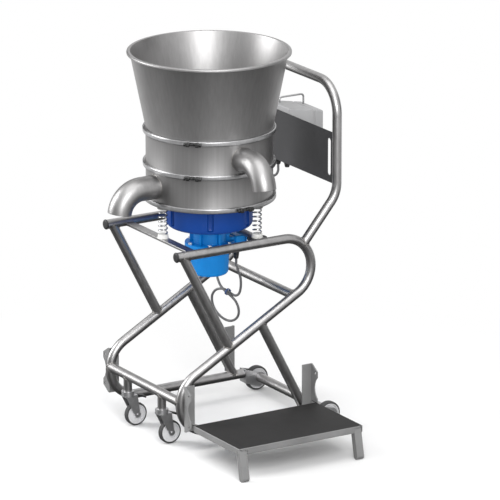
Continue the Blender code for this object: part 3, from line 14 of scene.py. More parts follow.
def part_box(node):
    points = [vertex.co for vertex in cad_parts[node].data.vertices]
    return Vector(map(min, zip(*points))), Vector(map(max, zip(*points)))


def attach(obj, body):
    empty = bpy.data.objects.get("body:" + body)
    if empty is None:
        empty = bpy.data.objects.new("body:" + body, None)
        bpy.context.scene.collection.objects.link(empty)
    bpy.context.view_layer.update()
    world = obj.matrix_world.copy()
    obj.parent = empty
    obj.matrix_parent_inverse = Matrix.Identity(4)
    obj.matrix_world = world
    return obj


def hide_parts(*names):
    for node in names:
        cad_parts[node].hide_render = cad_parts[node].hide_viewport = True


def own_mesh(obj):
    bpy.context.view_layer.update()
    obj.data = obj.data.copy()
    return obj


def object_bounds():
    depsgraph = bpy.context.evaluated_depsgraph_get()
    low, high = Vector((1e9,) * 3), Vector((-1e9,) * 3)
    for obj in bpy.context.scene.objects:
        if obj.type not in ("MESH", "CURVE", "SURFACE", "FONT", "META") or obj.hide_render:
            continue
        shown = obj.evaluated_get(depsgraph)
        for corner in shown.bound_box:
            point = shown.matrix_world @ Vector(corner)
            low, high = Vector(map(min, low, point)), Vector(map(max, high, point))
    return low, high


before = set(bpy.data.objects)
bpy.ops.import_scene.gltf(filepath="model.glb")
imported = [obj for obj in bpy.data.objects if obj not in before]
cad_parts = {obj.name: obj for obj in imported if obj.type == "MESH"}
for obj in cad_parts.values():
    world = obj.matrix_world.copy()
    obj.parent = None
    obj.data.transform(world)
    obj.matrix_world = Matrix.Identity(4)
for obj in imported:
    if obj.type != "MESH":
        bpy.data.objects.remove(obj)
cad_low, cad_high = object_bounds()


def new_object(name, data):
    """An object of the data, linked into the scene."""
    thing = bpy.data.objects.new(name, data)
    bpy.context.scene.collection.objects.link(thing)
    return thing


def facing(place, target):
    """The turn that points an object's own -Z from a place to a target."""
    return (target - place).to_track_quat("-Z", "Y").to_euler()


# %% [markdown]
# The sieve's own axis is the natural place to measure from, because every round piece of the
# head is turned about it. A gasket's box gives that axis, and each new shape is drawn about it
# and then shifted, which is easier to read than adding the shift to every number.

# %% Where the sieve's axis stands
seal_low, seal_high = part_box("base_gasket")
SIEVE_AXIS = np.array([(seal_low.x + seal_high.x) / 2, (seal_low.y + seal_high.y) / 2, 0.0])
print("sieve axis at", SIEVE_AXIS.round(4))

# %% [markdown]
# The camera stands where the photographer stood: far away, a little above, beyond the front
# right-hand corner. The long lens keeps the perspective flat, and the aim at the middle of the
# machine fills the frame without moving the viewpoint.

# %% Camera
CAMERA_PLACE = SIEVE_AXIS + np.array([13.37, -8.06, 5.168])
aim = Vector((cad_low + cad_high) / 2) + Vector((0.0, 0.0, -0.012))
camera_data = bpy.data.cameras.new("view")
camera_data.lens = 372.0
camera_data.clip_end = 200.0
camera = new_object("view", camera_data)
camera.location = Vector(CAMERA_PLACE)
camera.rotation_euler = facing(camera.location, aim)
bpy.context.scene.camera = camera
print("camera to machine:", round((aim - camera.location).length, 2), "m")

# %% [markdown]
# A finish is mostly a shader plus small irregularities. The irregularities that several finishes
# share are shader groups: each is built once, takes a scale or an amount, and gives out a mask or
# a height that changes over the surface. Object coordinates keep the pattern still on each piece.

# %% A small wiring helper for shader groups
def shader_group(name, inputs, outputs):
    """An empty shader group with float inputs (name, value), a vector input, and float outputs."""
    group = bpy.data.node_groups.new(name, "ShaderNodeTree")
    group.interface.new_socket("Vector", in_out="INPUT", socket_type="NodeSocketVector")
    for label, value in inputs:
        socket = group.interface.new_socket(label, in_out="INPUT", socket_type="NodeSocketFloat")
        socket.default_value = value
    for label in outputs:
        group.interface.new_socket(label, in_out="OUTPUT", socket_type="NodeSocketFloat")
    return group, group.nodes.new("NodeGroupInput"), group.nodes.new("NodeGroupOutput")


def wired(group, kind, links, **settings):
    """A node of one kind with its settings made and its inputs linked or set."""
    node = group.nodes.new(kind)
    for key, value in settings.items():
        setattr(node, key, value)
    for label, source in links.items():
        if hasattr(source, "is_output"):
            group.links.new(source, node.inputs[label])
        else:
            node.inputs[label].default_value = source
    return node


# %% [markdown]
# Brushed and blasted steel both show faint streaks that run one way and a fine grain. Two noises
# give them: one is squeezed across the streaks and drawn out along them, the other is even.

# %% Group: streaks and grain
def make_streak_group():
    group, source, sink = shader_group("streaks_and_grain",
                                       [("Streaks", 90.0), ("Grain", 700.0), ("Draw Out", 0.03)],
                                       ["Streak", "Grain", "Height"])
    vector = source.outputs["Vector"]
    squeeze = wired(group, "ShaderNodeCombineXYZ", {"X": 1.0, "Y": 1.0, "Z": source.outputs["Draw Out"]})
    along = wired(group, "ShaderNodeVectorMath", {0: vector, 1: squeeze.outputs[0]}, operation="MULTIPLY")
    streak = wired(group, "ShaderNodeTexNoise",
                   {"Vector": along.outputs[0], "Scale": source.outputs["Streaks"], "Detail": 4.0,
                    "Roughness": 0.6})
    grain = wired(group, "ShaderNodeTexNoise",
                  {"Vector": vector, "Scale": source.outputs["Grain"], "Detail": 2.0, "Roughness": 0.7})
    height = wired(group, "ShaderNodeMath", {0: streak.outputs[0], 1: grain.outputs[0]}, operation="ADD")
    group.links.new(streak.outputs[0], sink.inputs["Streak"])
    group.links.new(grain.outputs[0], sink.inputs["Grain"])
    group.links.new(height.outputs[0], sink.inputs["Height"])
    return group


STREAKS = make_streak_group()
print("group:", STREAKS.name)

# %% [markdown]
# Paint and moulded plastic are never dead flat: paint dries with a gentle orange peel, and both
# carry wide, weak patches where hands and cloths have polished them. A coarse noise makes the
# patches and a finer one makes the peel.

# %% Group: orange peel and patches
def make_peel_group():
    group, source, sink = shader_group("peel_and_patches", [("Peel", 320.0), ("Patches", 7.0)],
                                       ["Peel", "Patch"])
    peel = wired(group, "ShaderNodeTexNoise",
                 {"Vector": source.outputs["Vector"], "Scale": source.outputs["Peel"], "Detail": 1.5})
    patch = wired(group, "ShaderNodeTexNoise",
                  {"Vector": source.outputs["Vector"], "Scale": source.outputs["Patches"], "Detail": 3.0})
    group.links.new(peel.outputs[0], sink.inputs["Peel"])
    group.links.new(patch.outputs[0], sink.inputs["Patch"])
    return group


PEEL = make_peel_group()
print("group:", PEEL.name)

# %% [markdown]
# The sieve cloth is woven wire. Two families of fine waves cross at right angles; where either
# crest passes there is wire, and between them the holes are painted near black as painted shade.

# %% Group: woven wire
def make_weave_group():
    group, source, sink = shader_group("woven_wire", [("Pitch", 420.0)], ["Wire"])
    waves = []
    for direction in ("X", "Y"):
        wave = wired(group, "ShaderNodeTexWave",
                     {"Vector": source.outputs["Vector"], "Scale": source.outputs["Pitch"]},
                     wave_type="BANDS", bands_direction=direction, wave_profile="SIN")
        waves.append(wave.outputs["Fac"])
    both = wired(group, "ShaderNodeMath", {0: waves[0], 1: waves[1]}, operation="MAXIMUM")
    group.links.new(both.outputs[0], sink.inputs["Wire"])
    return group


WEAVE = make_weave_group()
print("group:", WEAVE.name)

# %% [markdown]
# A material is then a Principled shader whose colour and roughness swing a little between two
# values, led by one of the groups' masks, with a bump from its height. Numbers that are the same
# everywhere, such as the coat, stay on the shader's own sockets.

# %% Material builders
FINISHES = {}
MASK_RANGE = 0.32, 0.68
BUMP_DEPTH = 0.0006


def blank_material(name, metallic, coat=0.0):
    """An empty finish: its material, node tree, shader and place on the object."""
    material = bpy.data.materials.new(name)
    material.use_nodes = True
    tree = material.node_tree
    shader = tree.nodes["Principled BSDF"]
    shader.inputs["Metallic"].default_value = metallic
    shader.inputs["Coat Weight"].default_value = coat
    shader.inputs["Coat Roughness"].default_value = 0.1
    place = tree.nodes.new("ShaderNodeTexCoord").outputs["Object"]
    FINISHES[name] = material
    return tree, shader, place


def swing_between(tree, mask, low, high, socket):
    """Leads a socket from low to high as the mask goes over its middle range."""
    if isinstance(low, tuple):
        ramp = wired(tree, "ShaderNodeValToRGB", {"Fac": mask})
        for element, position, colour in zip(ramp.color_ramp.elements, MASK_RANGE, (low, high)):
            element.position, element.color = position, (*colour, 1)
        tree.links.new(ramp.outputs["Color"], socket)
    else:
        spread = wired(tree, "ShaderNodeMapRange",
                       {"Value": mask, "From Min": MASK_RANGE[0], "From Max": MASK_RANGE[1], "To Min": low,
                        "To Max": high})
        tree.links.new(spread.outputs["Result"], socket)


def bump_from(tree, height, strength, distance, shader):
    """Tilts a shader's normal by a height."""
    bump = wired(tree, "ShaderNodeBump", {"Height": height, "Strength": strength, "Distance": distance})
    tree.links.new(bump.outputs["Normal"], shader.inputs["Normal"])


def metal(name, colours, roughness, streaks=90.0, grain=700.0, draw_out=0.03, bump=0.08):
    """Bare or plated metal: the streak group leads its colour, roughness and bump."""
    tree, shader, place = blank_material(name, 1.0)
    marks = wired(tree, "ShaderNodeGroup", {}, node_tree=STREAKS)
    tree.links.new(place, marks.inputs["Vector"])
    marks.inputs["Streaks"].default_value = streaks
    marks.inputs["Grain"].default_value = grain
    marks.inputs["Draw Out"].default_value = draw_out
    swing_between(tree, marks.outputs["Streak"], *colours, shader.inputs["Base Color"])
    swing_between(tree, marks.outputs["Grain"], *roughness, shader.inputs["Roughness"])
    bump_from(tree, marks.outputs["Height"], bump, BUMP_DEPTH, shader)


def coated(name, colours, roughness, coat=0.0, peel=320.0, patches=7.0, bump=0.06, metallic=0.0):
    """Paint, plastic or rubber: the peel group leads its colour, roughness and bump."""
    tree, shader, place = blank_material(name, metallic, coat)
    skin = wired(tree, "ShaderNodeGroup", {}, node_tree=PEEL)
    tree.links.new(place, skin.inputs["Vector"])
    skin.inputs["Peel"].default_value = peel
    skin.inputs["Patches"].default_value = patches
    swing_between(tree, skin.outputs["Patch"], *colours, shader.inputs["Base Color"])
    swing_between(tree, skin.outputs["Patch"], *roughness, shader.inputs["Roughness"])
    bump_from(tree, skin.outputs["Peel"], bump, BUMP_DEPTH, shader)


# %% [markdown]
# The steels differ in how they were finished. The trolley's tubes are polished, the sieve's shells
# are blasted and a shade darker, the clamps are brighter, the forks, bolts and screws are zinc
# plated, and the springs have a bright steel of their own. Each is one call with its own colours and
# roughness.

# %% The metals
metal("tube_steel", ((0.33, 0.325, 0.325), (0.41, 0.405, 0.405)), (0.32, 0.40), 60.0, 900.0, 0.4, 0.012)
metal("sieve_steel", ((0.29, 0.286, 0.286), (0.325, 0.321, 0.321)), (0.40, 0.46), 110.0, 800.0, 0.02, 0.04)
metal("clamp_steel", ((0.36, 0.36, 0.365), (0.45, 0.45, 0.455)), (0.27, 0.35), 60.0, 900.0, 0.5, 0.04)
metal("latch_steel", ((0.05, 0.05, 0.05), (0.09, 0.09, 0.09)), (0.28, 0.36), 60.0, 900.0, 1.0, 0.05)
metal("zinc_plated", ((0.52, 0.52, 0.53), (0.64, 0.64, 0.65)), (0.36, 0.50), 30.0, 500.0, 1.0, 0.08)
metal("spring_steel", ((0.50, 0.50, 0.51), (0.62, 0.62, 0.63)), (0.20, 0.30), 80.0, 900.0, 1.0, 0.04)
metal("weld_steel", ((0.24, 0.23, 0.22), (0.34, 0.33, 0.32)), (0.35, 0.50), 150.0, 500.0, 1.0, 0.3)
print("metals:", sorted(FINISHES))

# %% [markdown]
# The painted and moulded pieces: a charcoal powder coat on the panel plate, a far darker
# colour on the step's tread that is painted shade for its top face, a deep blue on the vibrator's
# drum, a bright blue on its motor, and plastics and rubbers that differ mainly in how matt they are.

# %% The coats, plastics and rubbers
coated("charcoal_plate", ((0.048, 0.048, 0.050), (0.060, 0.060, 0.063)), (0.52, 0.62), 0.0, 600.0, 9.0, 0.12)
# painted shade: the tread is coloured far darker than the plate, to darken the step's top face that the top
# light brightens
coated("tread_painted_shade", ((0.010, 0.0095, 0.0095), (0.015, 0.0145, 0.0145)), (0.58, 0.68), 0.0, 600.0, 9.0, 0.12)
coated("navy_paint", ((0.002, 0.042, 0.23), (0.004, 0.051, 0.28)), (0.36, 0.46), 0.06, 260.0, 6.0, 0.05)
coated("azure_paint", ((0.0, 0.175, 0.53), (0.002, 0.21, 0.59)), (0.38, 0.48), 0.05, 420.0, 8.0, 0.08)
coated("black_plastic", ((0.012, 0.012, 0.013), (0.020, 0.020, 0.021)), (0.42, 0.55), 0.0, 700.0, 14.0, 0.10)
coated("grey_box", ((0.33, 0.33, 0.335), (0.37, 0.37, 0.375)), (0.45, 0.55), 0.0, 520.0, 8.0, 0.08)
coated("red_plastic", ((0.50, 0.015, 0.012), (0.60, 0.025, 0.02)), (0.28, 0.36), 0.2, 500.0, 20.0, 0.04)
coated("green_plastic", ((0.015, 0.22, 0.05), (0.02, 0.28, 0.07)), (0.28, 0.36), 0.2, 500.0, 20.0, 0.04)
coated("seal_rubber", ((0.30, 0.30, 0.30), (0.38, 0.38, 0.38)), (0.60, 0.72), 0.0, 500.0, 20.0, 0.15)
coated("wheel_rubber", ((0.030, 0.030, 0.031), (0.050, 0.050, 0.051)), (0.62, 0.78), 0.0, 480.0, 25.0, 0.22)
coated("wheel_hub", ((0.56, 0.56, 0.57), (0.66, 0.66, 0.67)), (0.35, 0.45), 0.0, 420.0, 18.0, 0.08)
coated("cable_rubber", ((0.10, 0.10, 0.104), (0.14, 0.14, 0.144)), (0.36, 0.48), 0.0, 800.0, 30.0, 0.10)
coated("tie_plastic", ((0.03, 0.06, 0.16), (0.04, 0.08, 0.20)), (0.38, 0.48), 0.0, 700.0, 30.0, 0.06)
coated("step_grey", ((0.20, 0.20, 0.20), (0.25, 0.25, 0.25)), (0.38, 0.50), 0.0, 520.0, 9.0, 0.10, 0.25)
coated("cap_white", ((0.62, 0.62, 0.60), (0.72, 0.72, 0.70)), (0.34, 0.44), 0.0, 500.0, 20.0, 0.06)
for dull in ("charcoal_plate", "tread_painted_shade", "navy_paint", "azure_paint"):
    FINISHES[dull].node_tree.nodes["Principled BSDF"].inputs["Specular IOR Level"].default_value = 0.22
print("finishes in all:", len(FINISHES))

# %% [markdown]
# The cloth's wires are too fine to model one by one, so its finish takes its colour, roughness
# and bump from the weave alone. Its bright colour is the wire's own; its near-black colour between
# the wires is painted shade for the holes.

# %% The sieve cloth
def make_screen_finish():
    tree, shader, place = blank_material("screen_mesh", 1.0)
    weave = wired(tree, "ShaderNodeGroup", {}, node_tree=WEAVE)
    tree.links.new(place, weave.inputs["Vector"])
    # painted shade: the holes between the wires get a near-black colour
    swing_between(tree, weave.outputs["Wire"], (0.03, 0.03, 0.03), (0.50, 0.50, 0.51),
                  shader.inputs["Base Color"])
    swing_between(tree, weave.outputs["Wire"], 0.7, 0.3, shader.inputs["Roughness"])
    bump_from(tree, weave.outputs["Wire"], 0.5, 0.0005, shader)


make_screen_finish()

# %% [markdown]
# Every new surface below is a grid of points worked out as whole arrays. A shell is such a grid
# with its faces; it can be turned round an axis, carried along a path or stretched between two
# outlines. The volume's sign tells whether its faces point outwards, and a wrong shell is turned.

# %% Shells from grids
def grid_faces(rows, columns, close_rows, close_columns):
    """Four-cornered faces between neighbouring points of a grid, closed round where asked."""
    r, c = np.meshgrid(np.arange(rows if close_rows else rows - 1),
                       np.arange(columns if close_columns else columns - 1), indexing="ij")
    down, on = (r + 1) % rows, (c + 1) % columns
    corners = [r * columns + c, r * columns + on, down * columns + on, down * columns + c]
    return np.stack(corners, axis=-1).reshape(-1, 4)


def signed_volume(points, faces):
    """A sixth of the sum of a . (b x c) over each face's fan of triangles."""
    total = 0.0
    for face in faces:
        corners = points[list(face)]
        fan = np.cross(corners[1:-1], corners[2:])
        total += float((fan @ corners[0]).sum())
    return total / 6


def shell(grid, close_rows=False, caps=True):
    """A closed shell from a grid whose columns run round; open ends get flat caps."""
    rows, columns = grid.shape[:2]
    points = grid.reshape(-1, 3)
    faces = [tuple(face) for face in grid_faces(rows, columns, close_rows, True)]
    if caps and not close_rows:
        faces.append(tuple(range(columns - 1, -1, -1)))
        faces.append(tuple(range((rows - 1) * columns, rows * columns)))
    if signed_volume(points, faces) < 0:
        faces = [face[::-1] for face in faces]
    return points, faces


def placed(form, matrix):
    """A shell moved and turned by a matrix."""
    matrix = np.array(matrix, float)
    points = form[0] @ matrix[:3, :3].T + matrix[:3, 3]
    faces = form[1] if np.linalg.det(matrix[:3, :3]) > 0 else [face[::-1] for face in form[1]]
    return points, faces

# %% [markdown]
# A piece may be several shells in one mesh, such as a latch's lugs, bolt and nuts. One builder
# makes them all alike: it joins double points, marks the sharp edges, gives the finish, says
# which body carries the piece and hides the solid it stands for.

# %% Make a piece of one or more shells
def even_normals(piece):
    """Lets the largest faces lead the shading, so that flat faces stay flat beside round edges."""
    modifier = piece.modifiers.new("even_normals", "WEIGHTED_NORMAL")
    modifier.keep_sharp = True
    modifier.weight = 100


def mesh_of(name, forms):
    """One mesh of several shells that were drawn about the sieve's axis."""
    points, faces, start = [], [], 0
    for form_points, form_faces in forms:
        points.append(form_points)
        faces += [tuple(int(i) + start for i in face) for face in form_faces]
        start += len(form_points)
    mesh = bpy.data.meshes.new(name)
    mesh.from_pydata((np.concatenate(points) + SIEVE_AXIS).tolist(), [], faces)
    return mesh


def finished(mesh, shape, name, finish, body, node, slot, sharp, even):
    """Fills a mesh from a bmesh and makes it a piece: shaded, coloured and riding on a body."""
    shape.to_mesh(mesh)
    shape.free()
    mesh.shade_smooth()
    mesh.set_sharp_from_angle(angle=math.radians(sharp))
    piece = new_object(name, mesh)
    mesh.materials.append(FINISHES[finish])
    if even:
        even_normals(piece)
    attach(piece, body)
    if node:
        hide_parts(node)
    slot = slot or finish
    return piece


SHARP, MERGE = 35.0, 0.000002


def make_piece(name, forms, finish, body, node=None, slot=None, even=False):
    """One object from shells, riding on a body; its slot argument is not used."""
    mesh = mesh_of(name, forms)
    shape = bmesh.new()
    shape.from_mesh(mesh)
    bmesh.ops.remove_doubles(shape, verts=shape.verts, dist=MERGE)
    return finished(mesh, shape, name, finish, body, node, slot, SHARP, even)

# %% [markdown]
# Most round pieces of the machine were turned or spun. Turning a closed outline round an axis
# does the same, and rounding the outline's corners first is simpler than a bevel afterwards.

# %% Turned shapes
def softened(profile, radius, steps=3):
    """A closed profile with an arc at each corner, no longer than a share of its edges."""
    corners = [np.array(p, float) for p in profile]
    done = []
    for i, here in enumerate(corners):
        before, after = corners[i - 1], corners[(i + 1) % len(corners)]
        back, on = before - here, after - here
        room = min(np.linalg.norm(back), np.linalg.norm(on))
        reach = min(radius, 0.45 * room)
        if here[0] < 1e-7 or reach < 1e-7:
            done.append(here)
            continue
        first, last = here + back / np.linalg.norm(back) * reach, here + on / np.linalg.norm(on) * reach
        for t in np.linspace(0, 1, steps + 1):
            done.append((1 - t) ** 2 * first + 2 * t * (1 - t) * here + t ** 2 * last)
    return done


def band(inner, outer, low, high):
    """The profile of a flat ring, or of a disc where inner is nought."""
    return [(inner, low), (outer, low), (outer, high), (inner, high)]


def arc(radius, height, bend, angles):
    """Points of a profile round a centre: radius + bend cos a, height + bend sin a."""
    return [(radius + bend * math.cos(a), height + bend * math.sin(a)) for a in angles]


def there_and_back(half):
    """A profile that is the same above and below: its first half, and that half mirrored."""
    return [*half, *((r, -z) for r, z in reversed(half))]


def lathe(profile, steps=96, at=(0, 0, 0), soft=0.0):
    """Turns a closed (radius, height) profile: x = r cos t, y = r sin t, z = height."""
    profile = softened(profile, soft) if soft else profile
    r, z = np.array(profile, float).T
    t = np.linspace(0, 2 * np.pi, steps, endpoint=False)
    grid = np.stack([r[:, None] * np.cos(t), r[:, None] * np.sin(t), np.repeat(z[:, None], steps, 1)],
                    axis=-1)
    return shell(grid + np.array(at, float), close_rows=True)


# Turn an upright shape onto the X axis or the Y axis
ALONG_X = Matrix(((0, 0, 1, 0), (1, 0, 0, 0), (0, 1, 0, 0), (0, 0, 0, 1)))
ALONG_Y = Matrix(((1, 0, 0, 0), (0, 0, 1, 0), (0, -1, 0, 0), (0, 0, 0, 1)))


def laid(form, place):
    """An upright shape laid along the Y axis, its foot at a place."""
    return placed(form, Matrix.Translation(place) @ ALONG_Y)

# %% [markdown]
# Bent tubes, spring coils and straight rods are one idea: a circle carried along a line. Its
# crosswise directions turn as little as they can, so that no surface twists in a bend.

# %% Shapes carried along a path
def bent_path(corners, radius, steps=16):
    """Straight runs through the corners with an arc of one radius at each."""
    corners = [np.array(corner, float) for corner in corners]
    path = [corners[0]]
    for before, here, after in zip(corners, corners[1:], corners[2:]):
        back = (before - here) / np.linalg.norm(before - here)
        on = (after - here) / np.linalg.norm(after - here)
        half = math.acos(float(np.clip(back @ on, -1, 1))) / 2
        middle = (back + on) / np.linalg.norm(back + on)
        centre = here + middle * radius / math.sin(half)
        across = (on - back) / np.linalg.norm(on - back)
        sweep = np.linspace(half - math.pi / 2, math.pi / 2 - half, steps + 1)
        path += [centre - middle * radius * math.cos(t) + across * radius * math.sin(t) for t in sweep]
    return np.array([*path, corners[-1]])


def carried_frames(path):
    """A direction and two crosswise directions at each point, with as little twist as may be."""
    ahead = np.gradient(path, axis=0)
    ahead /= np.linalg.norm(ahead, axis=1, keepdims=True)
    side = np.cross(ahead[0], (0, 0, 1) if abs(ahead[0][2]) < 0.9 else (1, 0, 0))
    sides = []
    for direction in ahead:
        side = side - direction * (side @ direction)
        side /= np.linalg.norm(side)
        sides.append(side)
    sides = np.array(sides)
    return ahead, sides, np.cross(ahead, sides)


def tube(path, radius, sides=40, edge=0.0):
    """Carries a circle along a path: p + r (side cos t + up sin t), its end rims eased by edge."""
    path = np.array(path, float)
    ahead, side, up = carried_frames(path)
    t = np.linspace(0, 2 * np.pi, sides, endpoint=False)
    radii = np.broadcast_to(np.array(radius, float), len(path)).copy()
    grid = (path[:, None] + radii[:, None, None]
            * (side[:, None] * np.cos(t)[None, :, None] + up[:, None] * np.sin(t)[None, :, None]))
    if edge:
        first = grid[:1] - (grid[:1] - path[0]) * edge / radii[0] - ahead[0] * edge
        last = grid[-1:] - (grid[-1:] - path[-1]) * edge / radii[-1] + ahead[-1] * edge
        grid = np.concatenate([first, grid, last])
    return shell(grid)


def rod(start, end, radius, sides=32, edge=0.0):
    """A straight round bar between two points, its rims inside those points."""
    start, end = np.array(start, float), np.array(end, float)
    along = (end - start) / np.linalg.norm(end - start)
    return tube([start + along * edge, end - along * edge], radius, sides, edge)

# %% [markdown]
# Bars, lids, ribs and lugs are boxes with rounded edges. A box is a stack of rounded rectangles
# here, so it needs no modifier, and a nut is a stack of hexagons.

# %% Boxes with rounded edges
def rounded_box(low, high, radius, steps=3):
    """Rings of a rounded rectangle, drawn in and up round the top and bottom edges."""
    low, high = np.array(low, float), np.array(high, float)
    radius = min(radius, *(0.49 * (high - low)))
    quarter = np.linspace(0, np.pi / 2, steps + 1)
    turns = np.concatenate([quarter + i * np.pi / 2 for i in range(4)])
    signs = np.repeat(np.array([(1, 1), (-1, 1), (-1, -1), (1, -1)], float), steps + 1, axis=0)
    half = (high - low)[:2] / 2 - radius
    middle = (high + low)[:2] / 2
    rings = []
    for tilt in np.concatenate([np.linspace(-np.pi / 2, 0, steps + 1), np.linspace(0, np.pi / 2, steps + 1)]):
        flat = middle + signs * half + np.stack([np.cos(turns), np.sin(turns)], 1) * radius * math.cos(tilt)
        base = low[2] + radius if tilt < 0 or (tilt == 0 and len(rings) <= steps) else high[2] - radius
        rings.append(np.column_stack([flat, np.full(len(flat), base + radius * math.sin(tilt))]))
    return shell(np.array(rings))


def hexagon(centre, across, height, turn=Matrix.Identity(4)):
    """A hexagonal nut or head with eased corners, standing upright from its centre, or turned."""
    reach = across / math.sqrt(3)
    t = np.linspace(0, 2 * np.pi, 6, endpoint=False)
    rows = []
    for r, z in ((0.93 * reach, 0), (reach, 0.12 * height), (reach, 0.88 * height), (0.93 * reach, height)):
        rows.append(np.column_stack([r * np.cos(t), r * np.sin(t), np.full(6, z)]))
    return placed(shell(np.array(rows)), Matrix.Translation(centre) @ turn)


def washer(radius, place, turn=Matrix.Identity(4)):
    """A thin disc under a bolt's head or nut."""
    thick = 0.0012
    disc = lathe(band(0, radius, 0, thick), 28, soft=0.0003)
    return placed(disc, Matrix.Translation(place) @ turn)


# %% [markdown]
# The motor's cable is a real length of rubber-sheathed lead. It leaves a gland under the control
# box, hangs down behind the frame, makes one held loop and ends in the gland under the terminal
# box. Listed points give the route, and a Catmull-Rom curve through them keeps every bend
# gentle, which straight runs with arcs would not.

# %% The cable and its tie
CABLE_RADIUS = 0.004
CABLE_ROUTE = ((-0.158, 0.352, 0.7715), (-0.158, 0.352, 0.755), (-0.158, 0.352, 0.745),
               (-0.163, 0.349, 0.731), (-0.178, 0.341, 0.721), (-0.193, 0.326, 0.716), (-0.197, 0.305, 0.694),
               (-0.198, 0.278, 0.664), (-0.197, 0.252, 0.638), (-0.193, 0.223, 0.607), (-0.187, 0.191, 0.569),
               (-0.177, 0.159, 0.526), (-0.160, 0.130, 0.482), (-0.137, 0.109, 0.444), (-0.108, 0.102, 0.417),
               (-0.078, 0.104, 0.401), (-0.056, 0.112, 0.389), (-0.043, 0.123, 0.371), (-0.040, 0.131, 0.347),
               (-0.050, 0.136, 0.322), (-0.072, 0.137, 0.302), (-0.100, 0.133, 0.291), (-0.127, 0.123, 0.296),
               (-0.147, 0.111, 0.316), (-0.153, 0.102, 0.343), (-0.145, 0.097, 0.372), (-0.125, 0.100, 0.394),
               (-0.097, 0.110, 0.402), (-0.069, 0.117, 0.395), (-0.043, 0.120, 0.392), (-0.021, 0.121, 0.404),
               (-0.007, 0.119, 0.430), (0.000, 0.114, 0.462), (0.002, 0.104, 0.490), (0.000, 0.098, 0.508),
               (0.000, 0.098, 0.519), (0.000, 0.098, 0.5355))


def smooth_route(points, count):
    """Evenly spread points on a Catmull-Rom curve: a cubic of four neighbours per stretch."""
    knots = np.array([points[0], *points, points[-1]])
    before, here, ahead, beyond = knots[:-3, None], knots[1:-2, None], knots[2:-1, None], knots[3:, None]
    t = np.linspace(0, 1, 12, endpoint=False)[None, :, None]
    fine = 0.5 * (2 * here + (ahead - before) * t + (2 * before - 5 * here + 4 * ahead - beyond) * t ** 2
                  + (3 * here - before - 3 * ahead + beyond) * t ** 3)
    fine = np.vstack([fine.reshape(-1, 3), knots[-1]])
    lengths = np.concatenate([[0], np.cumsum(np.linalg.norm(np.diff(fine, axis=0), axis=1))])
    wanted = np.linspace(0, lengths[-1], count)
    return np.column_stack([np.interp(wanted, lengths, fine[:, i]) for i in range(3)]), lengths[-1]


cable_line, cable_length = smooth_route(CABLE_ROUTE, 180)
cable_curve = bpy.data.curves.new("motor_lead", "CURVE")
cable_curve.dimensions = "3D"
cable_curve.bevel_depth = CABLE_RADIUS
cable_curve.bevel_resolution = 5
cable_curve.use_fill_caps = True
spline = cable_curve.splines.new("POLY")
spline.points.add(len(cable_line) - 1)
spline.points.foreach_set("co", np.column_stack([cable_line + SIEVE_AXIS, np.ones(len(cable_line))]).ravel())
cable = new_object("motor_lead", cable_curve)
cable_curve.materials.append(FINISHES["cable_rubber"])
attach(cable, "trolley")
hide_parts("motor_cable")
print("cable length:", round(cable_length, 3), "m")

tie_centre = np.array((-0.0735, 0.1105, 0.3985))
tie_along = np.array((0.93, 0.27, -0.27)) / np.linalg.norm((0.93, 0.27, -0.27))
tie_turn = Vector(tie_along).to_track_quat("Z", "Y").to_matrix().to_4x4()
tie_band = lathe(band(0.0088, 0.0112, -0.003, 0.003), 40, soft=0.0006)
tie_head = rounded_box((0.0095, -0.0035, -0.003), (0.0140, 0.0035, 0.003), 0.0008)
tie_forms = [placed(form, Matrix.Translation(tie_centre) @ tie_turn) for form in (tie_band, tie_head)]
tie = make_piece("lead_tie", tie_forms, "tie_plastic", "trolley", "cable_tie", "black_plastic")

# %% [markdown]
# The trolley is bent and welded from one size of polished tube. A tube is a circle carried along
# its centreline, and the centreline is straight runs with an arc at each bend. The diagonal's
# slope follows from the two bends that it touches.

# %% The side frames
TUBE, TUBE_SIDES = 0.015, 48
HALF_WIDTH = 0.2175
TOP, BOTTOM, REAR, FRONT, BEND = 0.640, 0.062, 0.240, -0.239, 0.0975
SIDES = {"right": 1, "left": -1}
reach, rise = REAR - FRONT - 2 * BEND, TOP - BOTTOM - 2 * BEND
SLOPE = math.tan(math.atan2(rise, reach) - math.asin(2 * BEND / math.hypot(reach, rise)))
MIDDLE_Y, MIDDLE_Z = (REAR + FRONT) / 2, (TOP + BOTTOM) / 2


def diagonal_height(y):
    """The height of the diagonal's centreline at one depth."""
    return MIDDLE_Z + (y - MIDDLE_Y) * SLOPE


def side_line(x):
    """Top tube, rear bend, diagonal, front bend, bottom tube."""
    corner = (TOP - MIDDLE_Z) / SLOPE
    return bent_path([(x, FRONT - 0.010, TOP), (x, MIDDLE_Y + corner, TOP), (x, MIDDLE_Y - corner, BOTTOM),
                      (x, REAR + 0.0155, BOTTOM)], BEND, 28)


for side, sign in SIDES.items():
    make_piece("side_tube_" + side, [tube(side_line(sign * HALF_WIDTH), TUBE, TUBE_SIDES)], "tube_steel",
               "trolley", "side_frame_" + side)
    cap_at = (sign * HALF_WIDTH, FRONT - 0.0103, TOP)
    cap_profile = [(0, 0.0), (0.0162, 0.0), (0.0162, 0.0032), (0.0135, 0.0058), (0.006, 0.006), (0, 0.006)]
    cap = placed(lathe(cap_profile, 48, soft=0.0012),
                 Matrix.Translation(cap_at) @ Matrix.Rotation(math.pi / 2, 4, "X"))
    make_piece("tube_end_cap_" + side, [cap], "black_plastic", "trolley", "end_cap_" + side)
print("diagonal slope:", round(SLOPE, 4))

# %% [markdown]
# Struts and crossbars end against other tubes, and a welder's bead runs round each end. The bead
# lies where two cylinders cross: for each point round the strut, a straight line along it meets
# the other tube's surface at the root of a quadratic. A thin tube carried round that closed curve
# is the bead, with a small ripple in its thickness.

